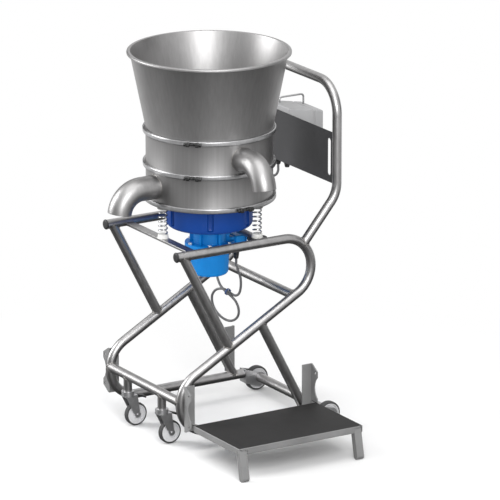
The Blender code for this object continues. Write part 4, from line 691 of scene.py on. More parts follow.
# %% Struts, crossbars and weld beads
def crossing_ring(inside, along, radius, axis_point, axis_along, sides=72):
    """Where a bar's surface leaves a tube's, going from its inside end along it."""
    inside, along = np.array(inside, float), np.array(along, float) / np.linalg.norm(along)
    a = np.array(axis_along, float) / np.linalg.norm(axis_along)
    _, side, up = carried_frames(np.array([inside, inside + along]))
    t = np.linspace(0, 2 * np.pi, sides, endpoint=False)
    start = inside + radius * (np.cos(t)[:, None] * side[0] + np.sin(t)[:, None] * up[0])
    rel = start - np.array(axis_point, float)
    p, q = rel - np.outer(rel @ a, a), along - a * (along @ a)
    qa, qb, qc = q @ q, 2 * p @ q, (p * p).sum(1) - TUBE ** 2
    far = (-qb + np.sqrt(np.maximum(qb ** 2 - 4 * qa * qc, 0))) / (2 * qa)
    return start + far[:, None] * along


def bead(ring, radius):
    """A closed thin tube along a ring of points; its radius ripples like stacked drops."""
    count = len(ring)
    ahead = np.roll(ring, -1, 0) - np.roll(ring, 1, 0)
    ahead /= np.linalg.norm(ahead, axis=1, keepdims=True)
    out = ring - ring.mean(0)
    side = out - ahead * (out * ahead).sum(1)[:, None]
    side /= np.linalg.norm(side, axis=1, keepdims=True)
    up = np.cross(ahead, side)
    ripple = radius * (1 + 0.12 * np.sin(np.arange(count) * 2 * np.pi * 3 / 8))
    t = np.linspace(0, 2 * np.pi, 8, endpoint=False)
    grid = ring[:, None] + ripple[:, None, None] * (side[:, None] * np.cos(t)[None, :, None]
                                                    + up[:, None] * np.sin(t)[None, :, None])
    return shell(grid, close_rows=True)


beads = []


def weld(inside, along, axis_along, radius=TUBE, axis_point=None, thick=0.0022):
    """Adds a bead where a bar leaves a tube; the tube's axis runs by the bar's inside end."""
    ring = crossing_ring(inside, along, radius, inside if axis_point is None else axis_point, axis_along)
    beads.append(bead(ring, thick))


def straight_tube(name, start, stop, node):
    """One straight length of the trolley's tube."""
    make_piece(name, [rod(start, stop, TUBE, TUBE_SIDES)], "tube_steel", "trolley", node)


STRUT_ANGLE, SUNK = math.radians(62.5), 0.005
for side, sign in SIDES.items():
    x = sign * HALF_WIDTH
    for end, (y, z) in {"front": (-0.228, TOP), "rear": (0.2205, BOTTOM)}.items():
        step = (z - diagonal_height(y)) / (math.tan(STRUT_ANGLE) + SLOPE)
        start, stop = np.array((x, y, z)), np.array((x, y + step, diagonal_height(y + step)))
        along = (stop - start) / np.linalg.norm(stop - start)
        straight_tube("%s_strut_tube_%s" % (end, side), start + along * SUNK, stop - along * SUNK,
                      "%s_strut_%s" % (end, side))
        weld(start, along, (0, 1, 0))
        weld(stop, -along, (0, 1, SLOPE))

inner = HALF_WIDTH - SUNK
upper_y = 0.178
upper_z = diagonal_height(upper_y)
straight_tube("rear_upper_tube", (-inner, upper_y, upper_z), (inner, upper_y, upper_z), "rear_upper_crossbar")
for sign in (1, -1):
    weld((sign * HALF_WIDTH, upper_y, upper_z), (-sign, 0, 0), (0, 1, SLOPE))
CROSS_Z = 0.168
STUB, STUB_X, STUB_Y = 0.0135, 0.10575, -0.240
stubs = [rod((sign * STUB_X, STUB_Y, CROSS_Z), (sign * STUB_X, STUB_Y, 0.1183), STUB, 40) for sign in (1, -1)]
front_bar = rod((-inner, FRONT, CROSS_Z), (inner, FRONT, CROSS_Z), TUBE, TUBE_SIDES)
make_piece("front_lower_tube", [front_bar, *stubs], "tube_steel", "trolley", "front_lower_crossbar")
for sign in (1, -1):
    weld((sign * STUB_X, STUB_Y, CROSS_Z), (0, 0, -1), (1, 0, 0), STUB, (0, FRONT, CROSS_Z), 0.0018)
    weld((sign * HALF_WIDTH, FRONT, CROSS_Z), (-sign, 0, 0), (0, 0.1, 1))
axle_low, axle_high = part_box("rear_axle_crossbar")
axle_z = (axle_low.z + axle_high.z) / 2
axle_y = (axle_low.y + axle_high.y) / 2 - SIEVE_AXIS[1]
axle_reach = (axle_high.x - axle_low.x) / 2
straight_tube("rear_axle_tube", (-axle_reach, axle_y, axle_z), (axle_reach, axle_y, axle_z),
              "rear_axle_crossbar")

# %% [markdown]
# The handle is the same tube, bent into a hoop. From each side frame's rear bend it slopes up,
# turns upright and crosses over at the top. Its feet lie where the slope meets the bend's circle.

# %% The push handle
KNEE, HANDLE_Y, HANDLE_TOP, SLANT = 0.762, 0.335, 1.112, math.radians(50)
knee = np.array((HANDLE_Y, KNEE))
down = np.array((-math.cos(SLANT), -math.sin(SLANT)))
to_centre = np.array((REAR - BEND, TOP - BEND)) - knee
nearest = to_centre @ down
foot = knee + down * (nearest - math.sqrt(BEND ** 2 - np.sum((to_centre - down * nearest) ** 2)) - SUNK)
handle_line = bent_path([(HALF_WIDTH, *foot), (HALF_WIDTH, *knee), (HALF_WIDTH, HANDLE_Y, HANDLE_TOP),
                         (-HALF_WIDTH, HANDLE_Y, HANDLE_TOP), (-HALF_WIDTH, *knee), (-HALF_WIDTH, *foot)],
                        BEND, 24)
make_piece("handle_hoop", [tube(handle_line, TUBE, TUBE_SIDES)], "tube_steel", "trolley", "push_handle")
for sign in (1, -1):
    foot_at = np.array((sign * HALF_WIDTH, *(foot + down * SUNK)))
    round_bend = foot_at[1:] - np.array((REAR - BEND, TOP - BEND))
    weld(foot_at, (0, *-down), (0, -round_bend[1], round_bend[0]))
make_piece("weld_beads", beads, "weld_steel", "trolley", slot="tube_steel")
print("weld beads:", len(beads))

# %% [markdown]
# The sieving head's shells are spun sheet: a pan with a domed floor, a deck and a flared hopper,
# each with a rolled flange. A profile turned about the axis gives each, and the corners of the
# profile are eased, because sheet metal never has a knife edge. The outlets are bent pipes whose
# first ring follows the shell's curve, so that pipe and shell meet along a true saddle.

# %% Heights of the head
SIEVE, WALL, FLANGE, FLANGE_DEEP = 0.200, 0.002, 0.205, 0.003
SEAL = 0.004
JOINT_0 = (seal_low.z + seal_high.z) / 2
JOINT_1 = sum(c.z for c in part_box("screen_gasket")) / 2
JOINT_2 = sum(c.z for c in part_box("hopper_gasket")) / 2
print("joints at", round(JOINT_0, 4), round(JOINT_1, 4), round(JOINT_2, 4))


def shell_side(top, bottom):
    """The outer side of a flanged shell, from the top down."""
    return [(FLANGE, top), (FLANGE, top - FLANGE_DEEP), (SIEVE, top - FLANGE_DEEP),
            (SIEVE, bottom + FLANGE_DEEP), (FLANGE, bottom + FLANGE_DEEP), (FLANGE, bottom)]

# %% [markdown]
# An outlet is a short pipe that bends downwards and stays open. Its inner and outer walls are one
# shell, and its first ring is laid on the sieve's cylinder, which leaves no ragged cut to clean.

# %% Outlets
OUTLET, OUTLET_STUB, OUTLET_BEND, OUTLET_TURN, OUTLET_TIP = 0.038, 0.049, 0.078, math.radians(80), 0.004


def saddle(out, radius, flat, heights):
    """Points on an upright cylinder: out sqrt(radius^2 - flat^2) + across flat + up height."""
    across, up = np.cross(out, (0.0, 0.0, 1.0)), np.array((0.0, 0.0, 1.0))
    return (out * np.sqrt(radius ** 2 - flat ** 2)[:, None] + across * flat[:, None] + up * heights[:, None])


def outlet_pipe(out, height, sides=64, steps=36):
    """A pipe wall out of the shell and round a bend; its root lies on the shell's cylinder."""
    out, up = np.array(out, float), np.array((0.0, 0.0, 1.0))
    across = np.cross(out, up)
    t = np.linspace(0, 2 * np.pi, sides, endpoint=False)
    turns = np.linspace(0, OUTLET_TURN, steps)
    centre = out * (SIEVE + OUTLET_STUB) + up * (height - OUTLET_BEND)
    line = [centre + (up * math.cos(a) + out * math.sin(a)) * OUTLET_BEND for a in turns]
    axes = [up * math.cos(a) + out * math.sin(a) for a in turns]
    tip = out * math.cos(OUTLET_TURN) - up * math.sin(OUTLET_TURN)
    line.append(line[-1] + tip * OUTLET_TIP)
    axes.append(axes[-1])

    def wall(radius, root):
        flat, tall = radius * np.cos(t), radius * np.sin(t)
        first = saddle(out, root, flat, height + tall)
        rings = [p + across * flat[:, None] + axis * tall[:, None] for p, axis in zip(line, axes)]
        return [first, *rings]

    outer, inside = wall(OUTLET, SIEVE - 0.0005), wall(OUTLET - WALL, SIEVE - WALL + 0.0002)
    lip = [outer[-1] * 0.75 + inside[-1] * 0.25 + tip * 0.0006,
           outer[-1] * 0.25 + inside[-1] * 0.75 + tip * 0.0006]
    return shell(np.array(outer + lip + inside[::-1]), close_rows=True)


def outlet_seam(out, height):
    """The weld round an outlet's root."""
    t = np.linspace(0, 2 * np.pi, 120, endpoint=False)
    flat, tall = (OUTLET + 0.0004) * np.cos(t), (OUTLET + 0.0004) * np.sin(t)
    ring = saddle(np.array(out, float), SIEVE + 0.0003, flat, height + tall)
    return bead(ring, 0.0014)


def carved(piece, forms):
    """Cuts closed shapes out of a piece with a Boolean, and keeps the result."""
    cutter = new_object("cutter", mesh_of("cutter", forms))
    modifier = piece.modifiers.new("cut", "BOOLEAN")
    modifier.operation = "DIFFERENCE"
    modifier.object = cutter
    done = bpy.data.meshes.new_from_object(piece.evaluated_get(bpy.context.evaluated_depsgraph_get()))
    piece.modifiers.clear()
    piece.data = done
    bpy.data.objects.remove(cutter)
    done.set_sharp_from_angle(angle=math.radians(SHARP))


def outlet_bore(out, height):
    """A rod through the shell where an outlet starts."""
    out, up = np.array(out, float), np.array((0.0, 0.0, 1.0))
    return rod(out * (SIEVE - 0.03) + up * height, out * (SIEVE + 0.02) + up * height, OUTLET - 0.0008, 64)

# %% [markdown]
# Each of these is one turned outline of the sheet's inner and outer sides. Only the holes behind
# the outlets are cut with a Boolean, since no turned outline can give them.

# %% Pan, deck and hopper
OUTLET_LIFT = 0.052
PAN_OUTLET = (0, -1, 0), JOINT_0 + OUTLET_LIFT
DECK_OUTLET = (1, 0, 0), JOINT_1 + OUTLET_LIFT
inner = SIEVE - WALL
pan_low, pan_top = JOINT_0 + SEAL / 2, JOINT_1 - SEAL / 2
floor, DOME_RISE = pan_low + 0.013, 0.022
dome = [(inner * s, floor + DOME_RISE * (1 - s)) for s in np.linspace(0, 1, 14)]
under = [(r, z - WALL) for r, z in reversed(dome)]
pan_profile = [*dome, (inner, pan_top), *shell_side(pan_top, pan_low), (inner, pan_low), *under]
pan = make_piece("pan_shell", [lathe(pan_profile, 128, soft=0.0008)], "sieve_steel", "sieving_head",
                 "collecting_pan")
carved(pan, [outlet_bore(*PAN_OUTLET)])
make_piece("pan_outlet_pipe", [outlet_pipe(*PAN_OUTLET)], "sieve_steel", "sieving_head")

deck_low, deck_top = JOINT_1 + SEAL / 2, JOINT_2 - SEAL / 2
deck_profile = [*shell_side(deck_top, deck_low), (inner, deck_low), (inner, deck_top)]
deck = make_piece("deck_shell", [lathe(deck_profile, 128, soft=0.0008)], "sieve_steel", "sieving_head",
                  "sieve_deck")
carved(deck, [outlet_bore(*DECK_OUTLET)])
make_piece("deck_outlet_pipe", [outlet_pipe(*DECK_OUTLET)], "sieve_steel", "sieving_head")
make_piece("outlet_seams", [outlet_seam(*PAN_OUTLET), outlet_seam(*DECK_OUTLET)], "weld_steel",
           "sieving_head", slot="sieve_steel")

RIM, RIM_LIP, RIM_DEEP, ROLL = 0.258, 0.009, 0.008, 0.0035
hopper_low = JOINT_2 + SEAL / 2
hopper_top = hopper_low + 0.248
neck, cone_top = hopper_low + FLANGE_DEEP, RIM - RIM_LIP
roll = arc(RIM - ROLL, hopper_top - ROLL, ROLL, np.linspace(math.pi / 2, 0, 8))
hopper_profile = [*roll, (RIM, hopper_top - RIM_DEEP), (RIM - WALL, hopper_top - RIM_DEEP),
                  (RIM - WALL, hopper_top - ROLL), (RIM - 0.0045, hopper_top - WALL),
                  (cone_top, hopper_top - WALL), (SIEVE, neck), (FLANGE, neck), (FLANGE, hopper_low),
                  (inner, hopper_low), (inner, neck), (cone_top - WALL, hopper_top)]
make_piece("hopper_cone", [lathe(hopper_profile, 160, soft=0.0007)], "sieve_steel", "sieving_head", "hopper")
print("shells made")

# %% [markdown]
# The screen is woven wire cloth stretched in a ring between pan and deck. The cloth itself is a
# thin disc whose finish draws the weave; the ring is turned sheet.

# %% Screen and its ring
seal_inner = SIEVE - WALL / 2
ring_in = seal_inner - 0.010
CLOTH, RING = 0.0006, 0.0017
cloth = lathe(band(0, ring_in, JOINT_1 + CLOTH, JOINT_1 - CLOTH), 96)
ring = lathe([(seal_inner, JOINT_1 + RING), (seal_inner, JOINT_1 - RING), (ring_in, JOINT_1 - RING),
              (ring_in, JOINT_1 + RING)], 96, soft=0.0004)
make_piece("screen_cloth", [cloth], "screen_mesh", "sieving_head", "sieve_screen")
make_piece("screen_ring", [ring], "clamp_steel", "sieving_head", slot="screen_mesh")

# %% [markdown]
# A clamp ring is a V-shaped channel drawn round two flanges by two latches. Each latch is a pair
# of lugs on the ring with a threaded bolt through them and a nut. The bolt's thread is a wavy
# profile turned about the bolt's own axis.

# %% Clamp rings and latches
CLAMP, CLAMP_WALL = 0.2095, 0.0025


def threaded(length, radius, pitch=0.00125, axis_steps=24):
    """A bolt's shank whose radius waves with its length, like a thread seen from the side."""
    z = np.linspace(0, length, int(length / pitch) * 4 + 1)
    r = radius - 0.0004 * (0.5 + 0.5 * np.cos(2 * np.pi * z / pitch))
    return lathe([(0, z[0]), *zip(r, z), (0, z[-1])], axis_steps)


def latch(turn, height):
    """Two lugs, a bolt with its head, a nut and a washer on the ring's outside at one angle."""
    forms = []
    inner_x, outer_x = CLAMP - CLAMP_WALL / 2, CLAMP + 0.016
    for step in (1, -1):
        y = step * 0.015
        forms.append(rounded_box((inner_x, y - 0.006, -0.0065), (outer_x, y + 0.006, 0.0065), 0.0028))
    bolt_x = (inner_x + outer_x + CLAMP_WALL) / 2
    forms.append(laid(threaded(0.054, 0.0034), (bolt_x, -0.028, 0)))
    forms.append(hexagon((bolt_x, 0.0212, 0), 0.0105, 0.0066, ALONG_Y))
    forms.append(hexagon((bolt_x, -0.0278, 0), 0.0105, 0.0050, ALONG_Y))
    forms.append(washer(0.0062, (bolt_x, 0.0203, 0), ALONG_Y))
    spin = Matrix.Translation((0, 0, height)) @ Matrix.Rotation(turn, 4, "Z")
    return [placed(form, spin) for form in forms]


room = SEAL / 2 + FLANGE_DEEP + 0.0003
for name, height, turn in (("lower", JOINT_0, 0.0), ("middle", JOINT_1, -math.pi / 4),
                           ("upper", JOINT_2, -math.pi / 4)):
    tall = room + CLAMP_WALL
    lip, deep, shoulder = SIEVE + 0.0016, FLANGE + 0.0003, CLAMP - CLAMP_WALL
    flank = [(shoulder, tall), (CLAMP - 0.0009, tall - 0.0011), (CLAMP, tall - CLAMP_WALL)]
    channel = there_and_back(flank) + there_and_back([(lip, -room), (deep, -room)])
    ring = lathe([(r, z + height) for r, z in channel], 144, soft=0.0006)
    make_piece("clamp_" + name, [ring], "clamp_steel", "sieving_head", "clamp_ring_" + name)
    make_piece("latches_" + name, latch(turn, height) + latch(turn + math.pi, height), "latch_steel",
               "sieving_head", slot="clamp_steel", even=True)
print("clamp rings: 3")

# %% [markdown]
# The base plate closes the head below. It is a turned disc with the flange that the lowest clamp
# grips, and three short cups under it hold the upper ends of the springs.

# %% Base plate with its spring cups
BASE_TOP, BASE_BOTTOM = JOINT_0 - SEAL / 2, JOINT_0 - SEAL / 2 - 0.008
SPRING_CIRCLE = 0.170
SPRINGS = {name: (SPRING_CIRCLE * math.cos(a), SPRING_CIRCLE * math.sin(a)) for name, a in
           zip(("front", "rear_right", "rear_left"), (-math.pi / 2, math.pi / 6, 5 * math.pi / 6))}
plate_profile = [(0, BASE_TOP), (FLANGE, BASE_TOP), (FLANGE, BASE_TOP - FLANGE_DEEP),
                 (SIEVE, BASE_TOP - FLANGE_DEEP), (SIEVE, BASE_BOTTOM), (0, BASE_BOTTOM)]
forms = [lathe(plate_profile, 128, soft=0.0008)]
cup_profile = [(0, 0.004), (0.018, 0.004), (0.018, -0.0115), (0.0165, -0.013), (0, -0.013)]
for x, y in SPRINGS.values():
    forms.append(lathe(cup_profile, 48, (x, y, BASE_BOTTOM), 0.0006))
make_piece("base_disc", forms, "sieve_steel", "sieving_head", "base_plate")

# %% [markdown]
# Three coil springs carry the head. A coil is a thin tube along a helix, whose height rises evenly
# with its angle. The springs stand on the trolley.

# %% Springs
BAR_LOW, BAR_TOP, CUP_TALL, GAP = 0.630, 0.638, 0.013, 0.0003
spring_low, spring_high = BAR_TOP + CUP_TALL + GAP, BASE_BOTTOM - CUP_TALL - GAP
for name, (x, y) in SPRINGS.items():
    turns, wire, coil = 5.5, 0.0022, 0.013
    t = np.linspace(0, turns, int(turns * 36) + 1)
    rise = spring_low + wire + (spring_high - spring_low - 2 * wire) * t / turns
    line = np.column_stack([x + coil * np.cos(2 * np.pi * t), y + coil * np.sin(2 * np.pi * t), rise])
    coil_piece = make_piece("coil_" + name, [tube(line, wire, 16)], "spring_steel", "trolley",
                            "spring_" + name)
    foot = (x + SIEVE_AXIS[0], y + SIEVE_AXIS[1], spring_low)
    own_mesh(coil_piece)

# %% [markdown]
# Many flat pieces have the right shape already and only lack soft edges. This step copies such a
# solid's surface, joins its triangles into flat faces and rounds every sharp edge a little, as
# bending, casting and paint do. The frame's own solid stays untouched underneath. The step's
# legs are also drawn out to their full width, and its skirt is notched for them.

# %% Eased copies of flat pieces
def outer_side(low, high):
    """The Y of a box's side that lies farther from the middle."""
    return low.y if abs(low.y) > abs(high.y) else high.y


def eased(node, finish, body, width, slot=None, reach=1.0):
    """A solid's own surface with rounded edges; reach draws it out from its outer side along Y."""
    source = bpy.data.objects[node]
    shape = bmesh.new()
    shape.from_mesh(source.data)
    outer_y = outer_side(*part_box(node))
    for vertex in shape.verts:
        vertex.co.y = outer_y + (vertex.co.y - outer_y) * reach
    bmesh.ops.remove_doubles(shape, verts=shape.verts, dist=0.00002)
    bmesh.ops.dissolve_limit(shape, angle_limit=math.radians(1.0), verts=shape.verts, edges=shape.edges)
    joined = [edge for edge in shape.edges if len(edge.link_faces) == 2]
    sharp = [edge for edge in joined if edge.calc_face_angle() > math.radians(40)]
    bmesh.ops.bevel(shape, geom=sharp, offset=width, segments=2, profile=0.5, affect="EDGES",
                    clamp_overlap=True)
    name = node + "_eased"
    return finished(bpy.data.meshes.new(name), shape, name, finish, body, node, slot, 38.0, True)


def second_finish(piece, finish, chosen):
    """Gives the faces whose centre a test chooses a second finish."""
    piece.data.materials.append(FINISHES[finish])
    for face in piece.data.polygons:
        if chosen(face.center - Vector(SIEVE_AXIS)):
            face.material_index = 1


LEG_REACH = 5.2
eased("panel_plate", "charcoal_plate", "trolley", 0.0009)
step = eased("step_platform", "step_grey", "step", 0.0008, "charcoal_plate")
step_low, step_high = [Vector(c) - Vector(SIEVE_AXIS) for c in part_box("step_platform")]
# painted shade: the step's top faces take the dark tread colour
second_finish(step, "tread_painted_shade", lambda place: place.z > step_high.z - 0.0006)
notches = []
for end in ("front", "rear"):
    eased("step_leg_" + end, "step_grey", "leg_" + end, 0.0006, reach=LEG_REACH)
    low, high = [Vector(c) - Vector(SIEVE_AXIS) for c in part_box("step_leg_" + end)]
    outer_y = outer_side(low, high)
    inner_y = outer_y + ((low.y + high.y) - 2 * outer_y) * LEG_REACH
    near_y, far_y = sorted((outer_y, inner_y))
    notches.append(rounded_box((step_high.x - 0.0045, near_y - 0.001, step_low.z - 0.01),
                               (step_high.x + 0.01, far_y + 0.001, step_high.z - 0.0065), 0.0005))
carved(step, notches)
for end in ("front", "rear"):
    for side in ("left", "right"):
        eased("step_bracket_%s_%s" % (end, side), "step_grey", "trolley", 0.00025, "zinc_plated")
for side in ("left", "right"):
    eased("rear_fork_" + side, "zinc_plated", "trolley", 0.0006)
    eased("caster_fork_" + side, "zinc_plated", "caster_" + side, 0.0006)
    eased("brake_pedal_" + side, "black_plastic", "pedal_" + side, 0.0009)
print("eased copies made")

# %% [markdown]
# The drum holds the unbalanced weights. It is a casting with a rounded lower edge and six upright
# pockets, painted a deep blue. It is turned first, and the pockets are cut with rounded cutters.

# %% Drum
DRUM_TOP = BASE_BOTTOM - 0.0003
DRUM_BOTTOM, DRUM, DRUM_ROUND, DRUM_MOUTH = DRUM_TOP - 0.088, 0.136, 0.014, 0.034
corner = arc(DRUM - DRUM_ROUND, DRUM_BOTTOM + DRUM_ROUND, DRUM_ROUND, np.linspace(0, -math.pi / 2, 14))
drum_profile = [(DRUM, DRUM_TOP - 0.002), *corner, (DRUM_MOUTH, DRUM_BOTTOM),
                (DRUM_MOUTH, DRUM_BOTTOM + 0.010), (DRUM - 0.018, DRUM_BOTTOM + 0.010),
                (DRUM - 0.018, DRUM_TOP), (DRUM - 0.002, DRUM_TOP)]
drum = make_piece("drum_casting", [lathe(drum_profile, 144)], "navy_paint", "sieving_head", "vibrator_drum")
pockets = []
for i in range(6):
    cutter = rounded_box((DRUM - 0.010, -0.010, DRUM_BOTTOM + 0.012), (DRUM + 0.02, 0.010, DRUM_TOP - 0.008),
                         0.006)
    pockets.append(placed(cutter, Matrix.Rotation(math.radians(30 + 60 * i), 4, "Z")))
carved(drum, pockets)

# %% [markdown]
# Below the drum the bright blue motor has a ribbed neck, a bolted flange and a body that narrows
# a little, as castings must to leave their mould. One outline gives all three, and a loop sets
# the ribs and the bolts round it.

# %% Motor
MOTOR_TOP = DRUM_BOTTOM - 0.0003
NECK, NECK_TALL, COLLAR, COLLAR_TALL, BODY, BODY_TALL = 0.052, 0.055, 0.0785, 0.022, 0.063, 0.083
collar_top = MOTOR_TOP - NECK_TALL
collar_low = collar_top - COLLAR_TALL
motor_low = collar_low - BODY_TALL
FOOT_ROUND = 0.012
turned_foot = arc(BODY - 0.0035 - FOOT_ROUND, motor_low + FOOT_ROUND, FOOT_ROUND,
                  np.linspace(0, -math.pi / 2, 12))
motor_profile = [(0.0125, MOTOR_TOP), (NECK, MOTOR_TOP), (NECK, collar_top), (COLLAR, collar_top),
                 (COLLAR, collar_low), (BODY, collar_low), *turned_foot, (0, motor_low),
                 (0, MOTOR_TOP - 0.020), (0.0125, MOTOR_TOP - 0.020)]
forms = [lathe(softened(motor_profile[:6], 0.0016) + motor_profile[6:], 120)]
for i in range(6):
    rib = rounded_box((NECK - 0.002, -0.003, collar_top - 0.001), (BODY, 0.003, MOTOR_TOP - 0.0002), 0.0018)
    forms.append(placed(rib, Matrix.Rotation(math.radians(60 * i), 4, "Z")))
TERMINAL_DROP, TERMINAL_TALL = 0.045, 0.048
terminal_low = MOTOR_TOP - TERMINAL_DROP - TERMINAL_TALL
forms.append(rounded_box((-0.025, 0.045, terminal_low + 0.002), (0.025, 0.0786, terminal_low + 0.046), 0.003))
make_piece("motor_casting", forms, "azure_paint", "sieving_head", "motor")
bolts, BOLT_CIRCLE = [], 0.0705
for i in range(6):
    a = math.radians(30 + 60 * i)
    x, y = BOLT_CIRCLE * math.cos(a), BOLT_CIRCLE * math.sin(a)
    bolts.append(hexagon((x, y, collar_top - 0.0004), 0.010, 0.0050))
    bolts.append(washer(0.0066, (x, y, collar_top - 0.0006)))
make_piece("motor_bolts", bolts, "zinc_plated", "sieving_head")

# %% [markdown]
# The motor's wires end in a terminal box on its rear side: a case and a lid with four screws,
# in the motor's own paint. Flat faces lead its shading, so that they stay flat.

# %% Terminal box
lid = rounded_box((-0.0305, 0.1145, terminal_low - 0.0005), (0.0305, 0.1208, terminal_low + 0.0485), 0.004)
case = rounded_box((-0.0295, 0.0788, terminal_low), (0.0295, 0.1140, terminal_low + TERMINAL_TALL), 0.005)
make_piece("terminal_case", [case, lid], "azure_paint", "sieving_head", "terminal_box", even=True)
screws = []
for x in (-0.0235, 0.0235):
    for z in (terminal_low + 0.0065, terminal_low + 0.0415):
        head = lathe([(0, 0), (0.0029, 0), (0.0029, 0.0012), (0.0016, 0.0019), (0.0016, 0.0009), (0, 0.0009)],
                     24)
        screws.append(laid(head, (x, 0.1207, z)))
make_piece("terminal_screws", screws, "zinc_plated", "sieving_head")

# %% [markdown]
# A gland holds a cable where it enters a box: a hexagon against the box and a ribbed dome nut
# under it. The ribs are a wave in the turned outline, which is enough at this size.

# %% Cable glands
def gland(x, y, top, length, bore=0.0044):
    """A gland's hexagon and its ribbed dome nut, hanging from its top face, with a bore."""
    z = np.linspace(-0.0125, -length + 0.001, 22)
    taper = np.interp(z, (-length, -0.0125), (0.0072, 0.0103))
    ribs = taper - 0.0005 * (0.5 + 0.5 * np.cos(2 * np.pi * (z + 0.0125) / 0.0022))
    sleeve = [(0.0100, 0.0), (0.0100, -0.0125), *zip(ribs, z), (0.0064, -length), (bore, -length),
              (bore, 0.0)]
    nut = hexagon((x, y, top - 0.0119), 0.0225, 0.0118)
    return [lathe(sleeve, 48, (x, y, top)), nut]


box_low, box_top = 0.790, 0.971
GLAND_X, GLAND_Y, GLAND_SPACING = -0.158, 0.352, 0.054
make_piece("box_gland_nut", gland(GLAND_X, GLAND_Y, box_low - 0.0003, 0.0242), "black_plastic", "trolley",
           "box_gland")
make_piece("motor_gland_nut", gland(0.0, 0.098, terminal_low - 0.0003, 0.0346), "black_plastic",
           "sieving_head", "motor_gland")
make_piece("spare_gland", gland(GLAND_X + GLAND_SPACING, GLAND_Y, box_low + 0.004, 0.022 + 0.004, 0.001),
           "black_plastic", "trolley")
print("drum, motor, terminal box and glands made")

# %% [markdown]
# The control box is moulded in two halves that meet at a fine line near the operator. Its sides
# slope towards the rear, where the switch and the two buttons stand in raised rings. The bent rod
# on top is the loop that the box hangs from.

# %% Control box
BOX_LEFT, BOX_RIGHT, BOX_FRONT, BOX_REAR = -0.198, -0.066, 0.3368, 0.4648
BOX_SPLIT = BOX_REAR - 0.034


def prism(outline, left, right, radius):
    """An outline of (y, z) points drawn out along X, with all its edges rounded."""
    shape = bmesh.new()
    sides = [[shape.verts.new((x, y, z)) for y, z in outline] for x in (left, right)]
    count = len(outline)
    shape.faces.new(sides[0])
    shape.faces.new(sides[1][::-1])
    for i in range(count):
        j = (i + 1) % count
        shape.faces.new((sides[0][j], sides[0][i], sides[1][i], sides[1][j]))
    bmesh.ops.recalc_face_normals(shape, faces=shape.faces)
    bmesh.ops.bevel(shape, geom=list(shape.edges), offset=radius, segments=3, profile=0.5, affect="EDGES")
    shape.verts.index_update()
    points = np.array([v.co for v in shape.verts])
    faces = [[v.index for v in face.verts] for face in shape.faces]
    shape.free()
    return points, faces


def box_height(y):
    """The sloping bottom and top of the control box at one depth."""
    share = (y - BOX_FRONT) / (BOX_REAR - BOX_FRONT)
    return box_low + 0.017 * share, box_top - 0.023 * share


def box_half(front, rear, radius, inset=0.0):
    """The stretch of the box between two depths, drawn in all round by inset."""
    (low_a, top_a), (low_b, top_b) = box_height(front), box_height(rear)
    outline = [(front, low_a + inset), (rear, low_b + inset), (rear, top_b - inset), (front, top_a - inset)]
    return prism(outline, BOX_LEFT + inset, BOX_RIGHT - inset, radius)


box_forms = [box_half(BOX_FRONT, BOX_SPLIT - 0.0005, 0.005), box_half(BOX_SPLIT + 0.0005, BOX_REAR, 0.005),
             box_half(BOX_FRONT + 0.01, BOX_REAR - 0.01, 0.002, 0.0022)]
make_piece("control_case", box_forms, "grey_box", "trolley", "control_box", even=True)
middle, RING_TALL = (BOX_LEFT + BOX_RIGHT) / 2, 0.005
face_y = BOX_REAR + RING_TALL
fittings = {"start": (middle - 0.022, 0.850, 0.011), "stop": (middle + 0.022, 0.850, 0.011),
            "switch": (middle, 0.912, 0.016)}
rings = []
for x, z, radius in fittings.values():
    clear = (radius + 0.0003) / math.cos(math.pi / 12)
    profile = [(clear, -0.001), (clear, RING_TALL), (clear + 0.0020, RING_TALL), (clear + 0.003, 0.0036),
               (clear + 0.003, -0.001)]
    rings.append(laid(lathe(profile, 64, soft=0.0003), (x, BOX_REAR, z)))
make_piece("fitting_rings", rings, "clamp_steel", "trolley")
for name, finish, node in (("start", "green_plastic", "start_button"),
                           ("stop", "red_plastic", "stop_button")):
    x, z, radius = fittings[name]
    cap = [(0, -0.005), (radius, -0.005), (radius, 0.0022), (radius - 0.0007, 0.0034),
           (radius - 0.0018, 0.0040), (radius * 0.6, 0.0034), (0, 0.0030)]
    make_piece(name + "_cap", [laid(lathe(cap, 64), (x, face_y, z))], finish, name, node)
x, z, radius = fittings["switch"]
knob = laid(lathe(band(0, radius, -0.009, 0.003), 64, soft=0.0007), (x, face_y, z))
switch_place = Matrix.Translation((x, face_y, z))
grip = placed(rounded_box((-0.005, 0.001, -0.0150), (0.005, 0.0148, 0.0150), 0.0024), switch_place)
make_piece("switch_knob", [knob, grip], "black_plastic", "switch", "main_switch")
mark = placed(rounded_box((-0.0009, 0.0140, 0.004), (0.0009, 0.01495, 0.0140), 0.0004), switch_place)
make_piece("switch_mark", [mark], "cap_white", "switch", slot="black_plastic")
loop_x, LOOP_FRONT, LOOP_REAR, LOOP_TOP = middle - 0.025, 0.3558, 0.4458, 0.985
loop = bent_path([(loop_x, LOOP_FRONT, 0.955), (loop_x, LOOP_FRONT, LOOP_TOP), (loop_x, LOOP_REAR, LOOP_TOP),
                  (loop_x, LOOP_REAR, 0.945)], 0.010, 14)
make_piece("lifting_loop", [tube(loop, 0.003, 20)], "clamp_steel", "trolley", slot="grey_box")
print("control box made")

# %% [markdown]
# Each spring stands between two cone-shaped cups of pale plastic. The lower cups sit on two flat
# bars across the frame; under the rear springs a bar carries a dark rubber seat.

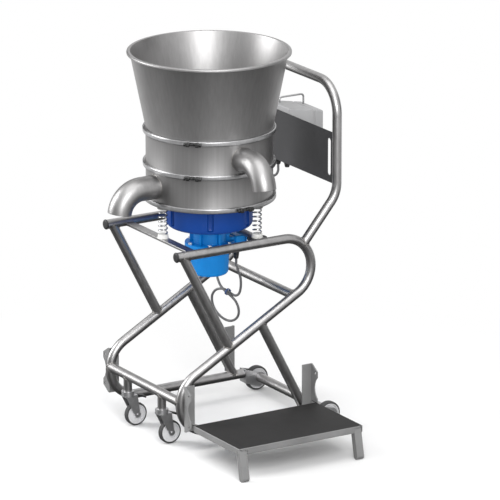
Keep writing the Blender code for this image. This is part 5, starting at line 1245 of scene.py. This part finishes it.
# %% Spring bars, seats and cups
bar_reach = HALF_WIDTH - 0.004
for end, (_, y) in (("front", SPRINGS["front"]), ("rear", SPRINGS["rear_left"])):
    bar = rounded_box((-bar_reach, y - 0.015, BAR_LOW), (bar_reach, y + 0.015, BAR_TOP), 0.0012)
    make_piece(end + "_bar", [bar], "tube_steel", "trolley", end + "_spring_bar", "charcoal_plate")
seats, cups = [], []
for name, (x, y) in SPRINGS.items():
    if name != "front":
        seats.append(lathe(band(0, 0.032, 0.6305, 0.6376), 64, (x, y, 0), 0.0009))
    cups.append(lathe([(0, 0.6378), (0.0180, 0.6378), (0.0160, 0.6500), (0.0150, 0.6510), (0, 0.6510)], 56,
                      (x, y, 0)))
make_piece("spring_seats", seats, "black_plastic", "trolley", slot="charcoal_plate")
make_piece("lower_spring_cups", cups, "cap_white", "trolley", slot="charcoal_plate")
cup_profile = [(0, BASE_BOTTOM - 0.0132), (0.0150, BASE_BOTTOM - 0.0132), (0.0162, BASE_BOTTOM - 0.0122),
               (0.0183, BASE_BOTTOM - 0.0003), (0, BASE_BOTTOM - 0.0003)]
cups = [lathe(cup_profile, 56, (x, y, 0)) for x, y in SPRINGS.values()]
make_piece("upper_spring_cups", cups, "cap_white", "sieving_head", slot="sieve_steel")

# %% [markdown]
# A wheel is a pale hub inside a dark tyre whose tread is slightly crowned and whose shoulders are
# round. The hub has a dished web and a boss for the axle.

# %% Wheels
def wheel(name, body, node, centre, radius, width, bore):
    """A tyre and a hub turned about the X axis at the wheel's centre."""
    half = width / 2
    web, rim, boss = half * 0.45, radius * 0.84, bore + 0.0055
    t = np.linspace(-1, 1, 17)
    crown = [(radius - 0.0012 * u * u - 0.0035 * max(0, abs(u) - 0.75) ** 2 * 16, half * 0.97 * u) for u in t]
    tyre = [(rim, -half * 0.9), *crown, (rim, half * 0.9)]
    hub = there_and_back([(bore, -half), (boss, -half), (boss + 0.0008, -web), (rim - 0.004, -web),
                          (rim - 0.0025, -half * 0.88), (rim + 0.0004, -half * 0.88)])
    turn = Matrix.Translation(centre) @ ALONG_X
    make_piece(name + "_tyre", [placed(lathe(tyre, 96, soft=0.0006), turn)], "wheel_rubber", body, node)
    make_piece(name + "_hub", [placed(lathe(hub, 96, soft=0.0005), turn)], "wheel_hub", body,
               slot="wheel_rubber")


for side, sign in SIDES.items():
    for kind, node, body in (("rear", "rear_wheel_" + side, "wheel_" + side),
                             ("front", "caster_wheel_" + side, "front_wheel_" + side)):
        low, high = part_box(node)
        centre = Vector((low + high) / 2) - Vector(SIEVE_AXIS)
        bore = 0.0062 if kind == "rear" else 0.0042
        wheel("%s_%s" % (kind, side), body, node, centre, (high.z - low.z) / 2, high.x - low.x, bore)
print("wheels: 4")

# %% [markdown]
# What is left of the frame's own solids is hidden inside the head, but still gets a finish, so
# that nothing is plain if a clamp is opened.

# %% Finishes for the pieces that stay
for finish, nodes in (("seal_rubber", ("base_gasket", "screen_gasket", "hopper_gasket")),
                      ("zinc_plated", ("rotor_shaft", "upper_weight", "lower_weight"))):
    for node in nodes:
        materials = bpy.data.objects[node].data.materials
        materials.clear()
        materials.append(FINISHES[finish])

# %% [markdown]
# The stage is a photographer's white cove: a pale floor, a background that the camera sees as
# pure white, and large soft lights beside the camera, on the left and above. Dark panels that
# only reflections see give the polished tubes their dark edges, as in a photograph of steel.

# %% Floor and background
def flat_sheet(name, width, tall):
    """A flat rectangle about its own origin."""
    mesh = bpy.data.meshes.new(name)
    mesh.from_pydata([(-width / 2, -tall / 2, 0), (width / 2, -tall / 2, 0), (width / 2, tall / 2, 0),
                      (-width / 2, tall / 2, 0)], [], [(0, 1, 2, 3)])
    return mesh


def plain_paint(name, grey, roughness):
    """A paint of one even grey."""
    paint = bpy.data.materials.new(name)
    paint.use_nodes = True
    shader = paint.node_tree.nodes["Principled BSDF"]
    shader.inputs["Base Color"].default_value = (grey, grey, grey, 1)
    shader.inputs["Roughness"].default_value = roughness
    return paint


FLOOR_SIZE, FADE_FROM, FADE_TO = 60.0, 0.55, 1.5
floor_piece = new_object("floor", flat_sheet("floor", FLOOR_SIZE, FLOOR_SIZE))
floor_piece.location = (0, 0, cad_low.z - 0.0002)
floor_paint = plain_paint("floor_paint", 0.88, 0.7)
floor_piece.data.materials.append(floor_paint)
tree = floor_paint.node_tree
place = tree.nodes.new("ShaderNodeTexCoord").outputs["Object"]
away = wired(tree, "ShaderNodeVectorMath", {0: place}, operation="LENGTH")
fade = wired(tree, "ShaderNodeMapRange",
             {"Value": away.outputs["Value"], "From Min": FADE_FROM, "From Max": FADE_TO},
             interpolation_type="SMOOTHSTEP")
white = wired(tree, "ShaderNodeEmission", {"Strength": 1.0})
mixed = wired(tree, "ShaderNodeMixShader",
              {0: fade.outputs[0], 1: tree.nodes["Principled BSDF"].outputs[0], 2: white.outputs[0]})
tree.links.new(mixed.outputs[0], tree.nodes["Material Output"].inputs["Surface"])

world = bpy.data.worlds.new("white_cove")
world.use_nodes = True
tree = world.node_tree
background = tree.nodes["Background"]
background.inputs["Color"].default_value = (1, 1, 1, 1)
paths = tree.nodes.new("ShaderNodeLightPath")
seen = wired(tree, "ShaderNodeMath", {0: paths.outputs["Is Camera Ray"], 1: paths.outputs["Is Glossy Ray"]},
             operation="MAXIMUM")
seen = wired(tree, "ShaderNodeMath", {0: seen.outputs[0], 1: paths.outputs["Is Transmission Ray"]},
             operation="MAXIMUM")
strength = wired(tree, "ShaderNodeMapRange", {"Value": seen.outputs[0], "To Min": 0.55, "To Max": 1.0})
tree.links.new(strength.outputs[0], background.inputs["Strength"])
bpy.context.scene.world = world

# %% [markdown]
# The lights are large, because small ones give hard, bright reflections. They and the panels are
# placed by angles from the camera, so that the set keeps its look if the camera moves.

# %% Lights and dark panels
VIEW = math.atan2(CAMERA_PLACE[1] - SIEVE_AXIS[1], CAMERA_PLACE[0] - SIEVE_AXIS[0])
CENTRE = Vector((cad_low + cad_high) / 2)


def around(degrees, distance, height):
    """A place at an angle from the camera's direction, seen from above."""
    turn = VIEW + math.radians(degrees)
    return CENTRE + Vector((distance * math.cos(turn), distance * math.sin(turn), height))


def soft_light(name, place, size, tall, power):
    """A rectangular light that faces the machine's middle."""
    data = bpy.data.lights.new(name, "AREA")
    data.shape, data.size, data.size_y, data.energy = "RECTANGLE", size, tall, power
    light = new_object(name, data)
    light.location = place
    light.rotation_euler = facing(place, CENTRE)


def dark_panel(name, place, width, tall, flat=False):
    """A black panel that only reflections see."""
    panel = new_object(name, flat_sheet(name, width, tall))
    panel.location = place
    if not flat:
        panel.rotation_euler = facing(place, CENTRE)
    panel.visible_camera = panel.visible_diffuse = panel.visible_shadow = panel.visible_transmission = False
    panel.data.materials.append(PANEL_PAINT)


PANEL_PAINT = plain_paint("panel_paint", 0.01, 0.5)
soft_light("left_light", around(-100, 3.6, 1.6), 1.6, 2.6, 120)
soft_light("front_light", around(6, 3.8, 1.8), 1.6, 2.6, 130)
soft_light("top_light", around(10, 0.8, 3.4), 3.0, 3.0, 70)
dark_panel("dark_front", around(-20, 6.0, -0.3), 5.0, 3.4)
dark_panel("dark_left", around(-62, 5.0, 0.0), 2.6, 4.4)
dark_panel("dark_right", around(102, 5.0, 0.2), 3.0, 5.0)
dark_panel("dark_back", around(-150, 5.0, 0.2), 3.6, 5.0)
dark_panel("dark_ground", Vector((0, 0, 0.0004)), 4.8, 4.8, flat=True)
bpy.context.scene.view_settings.view_transform = "Standard"
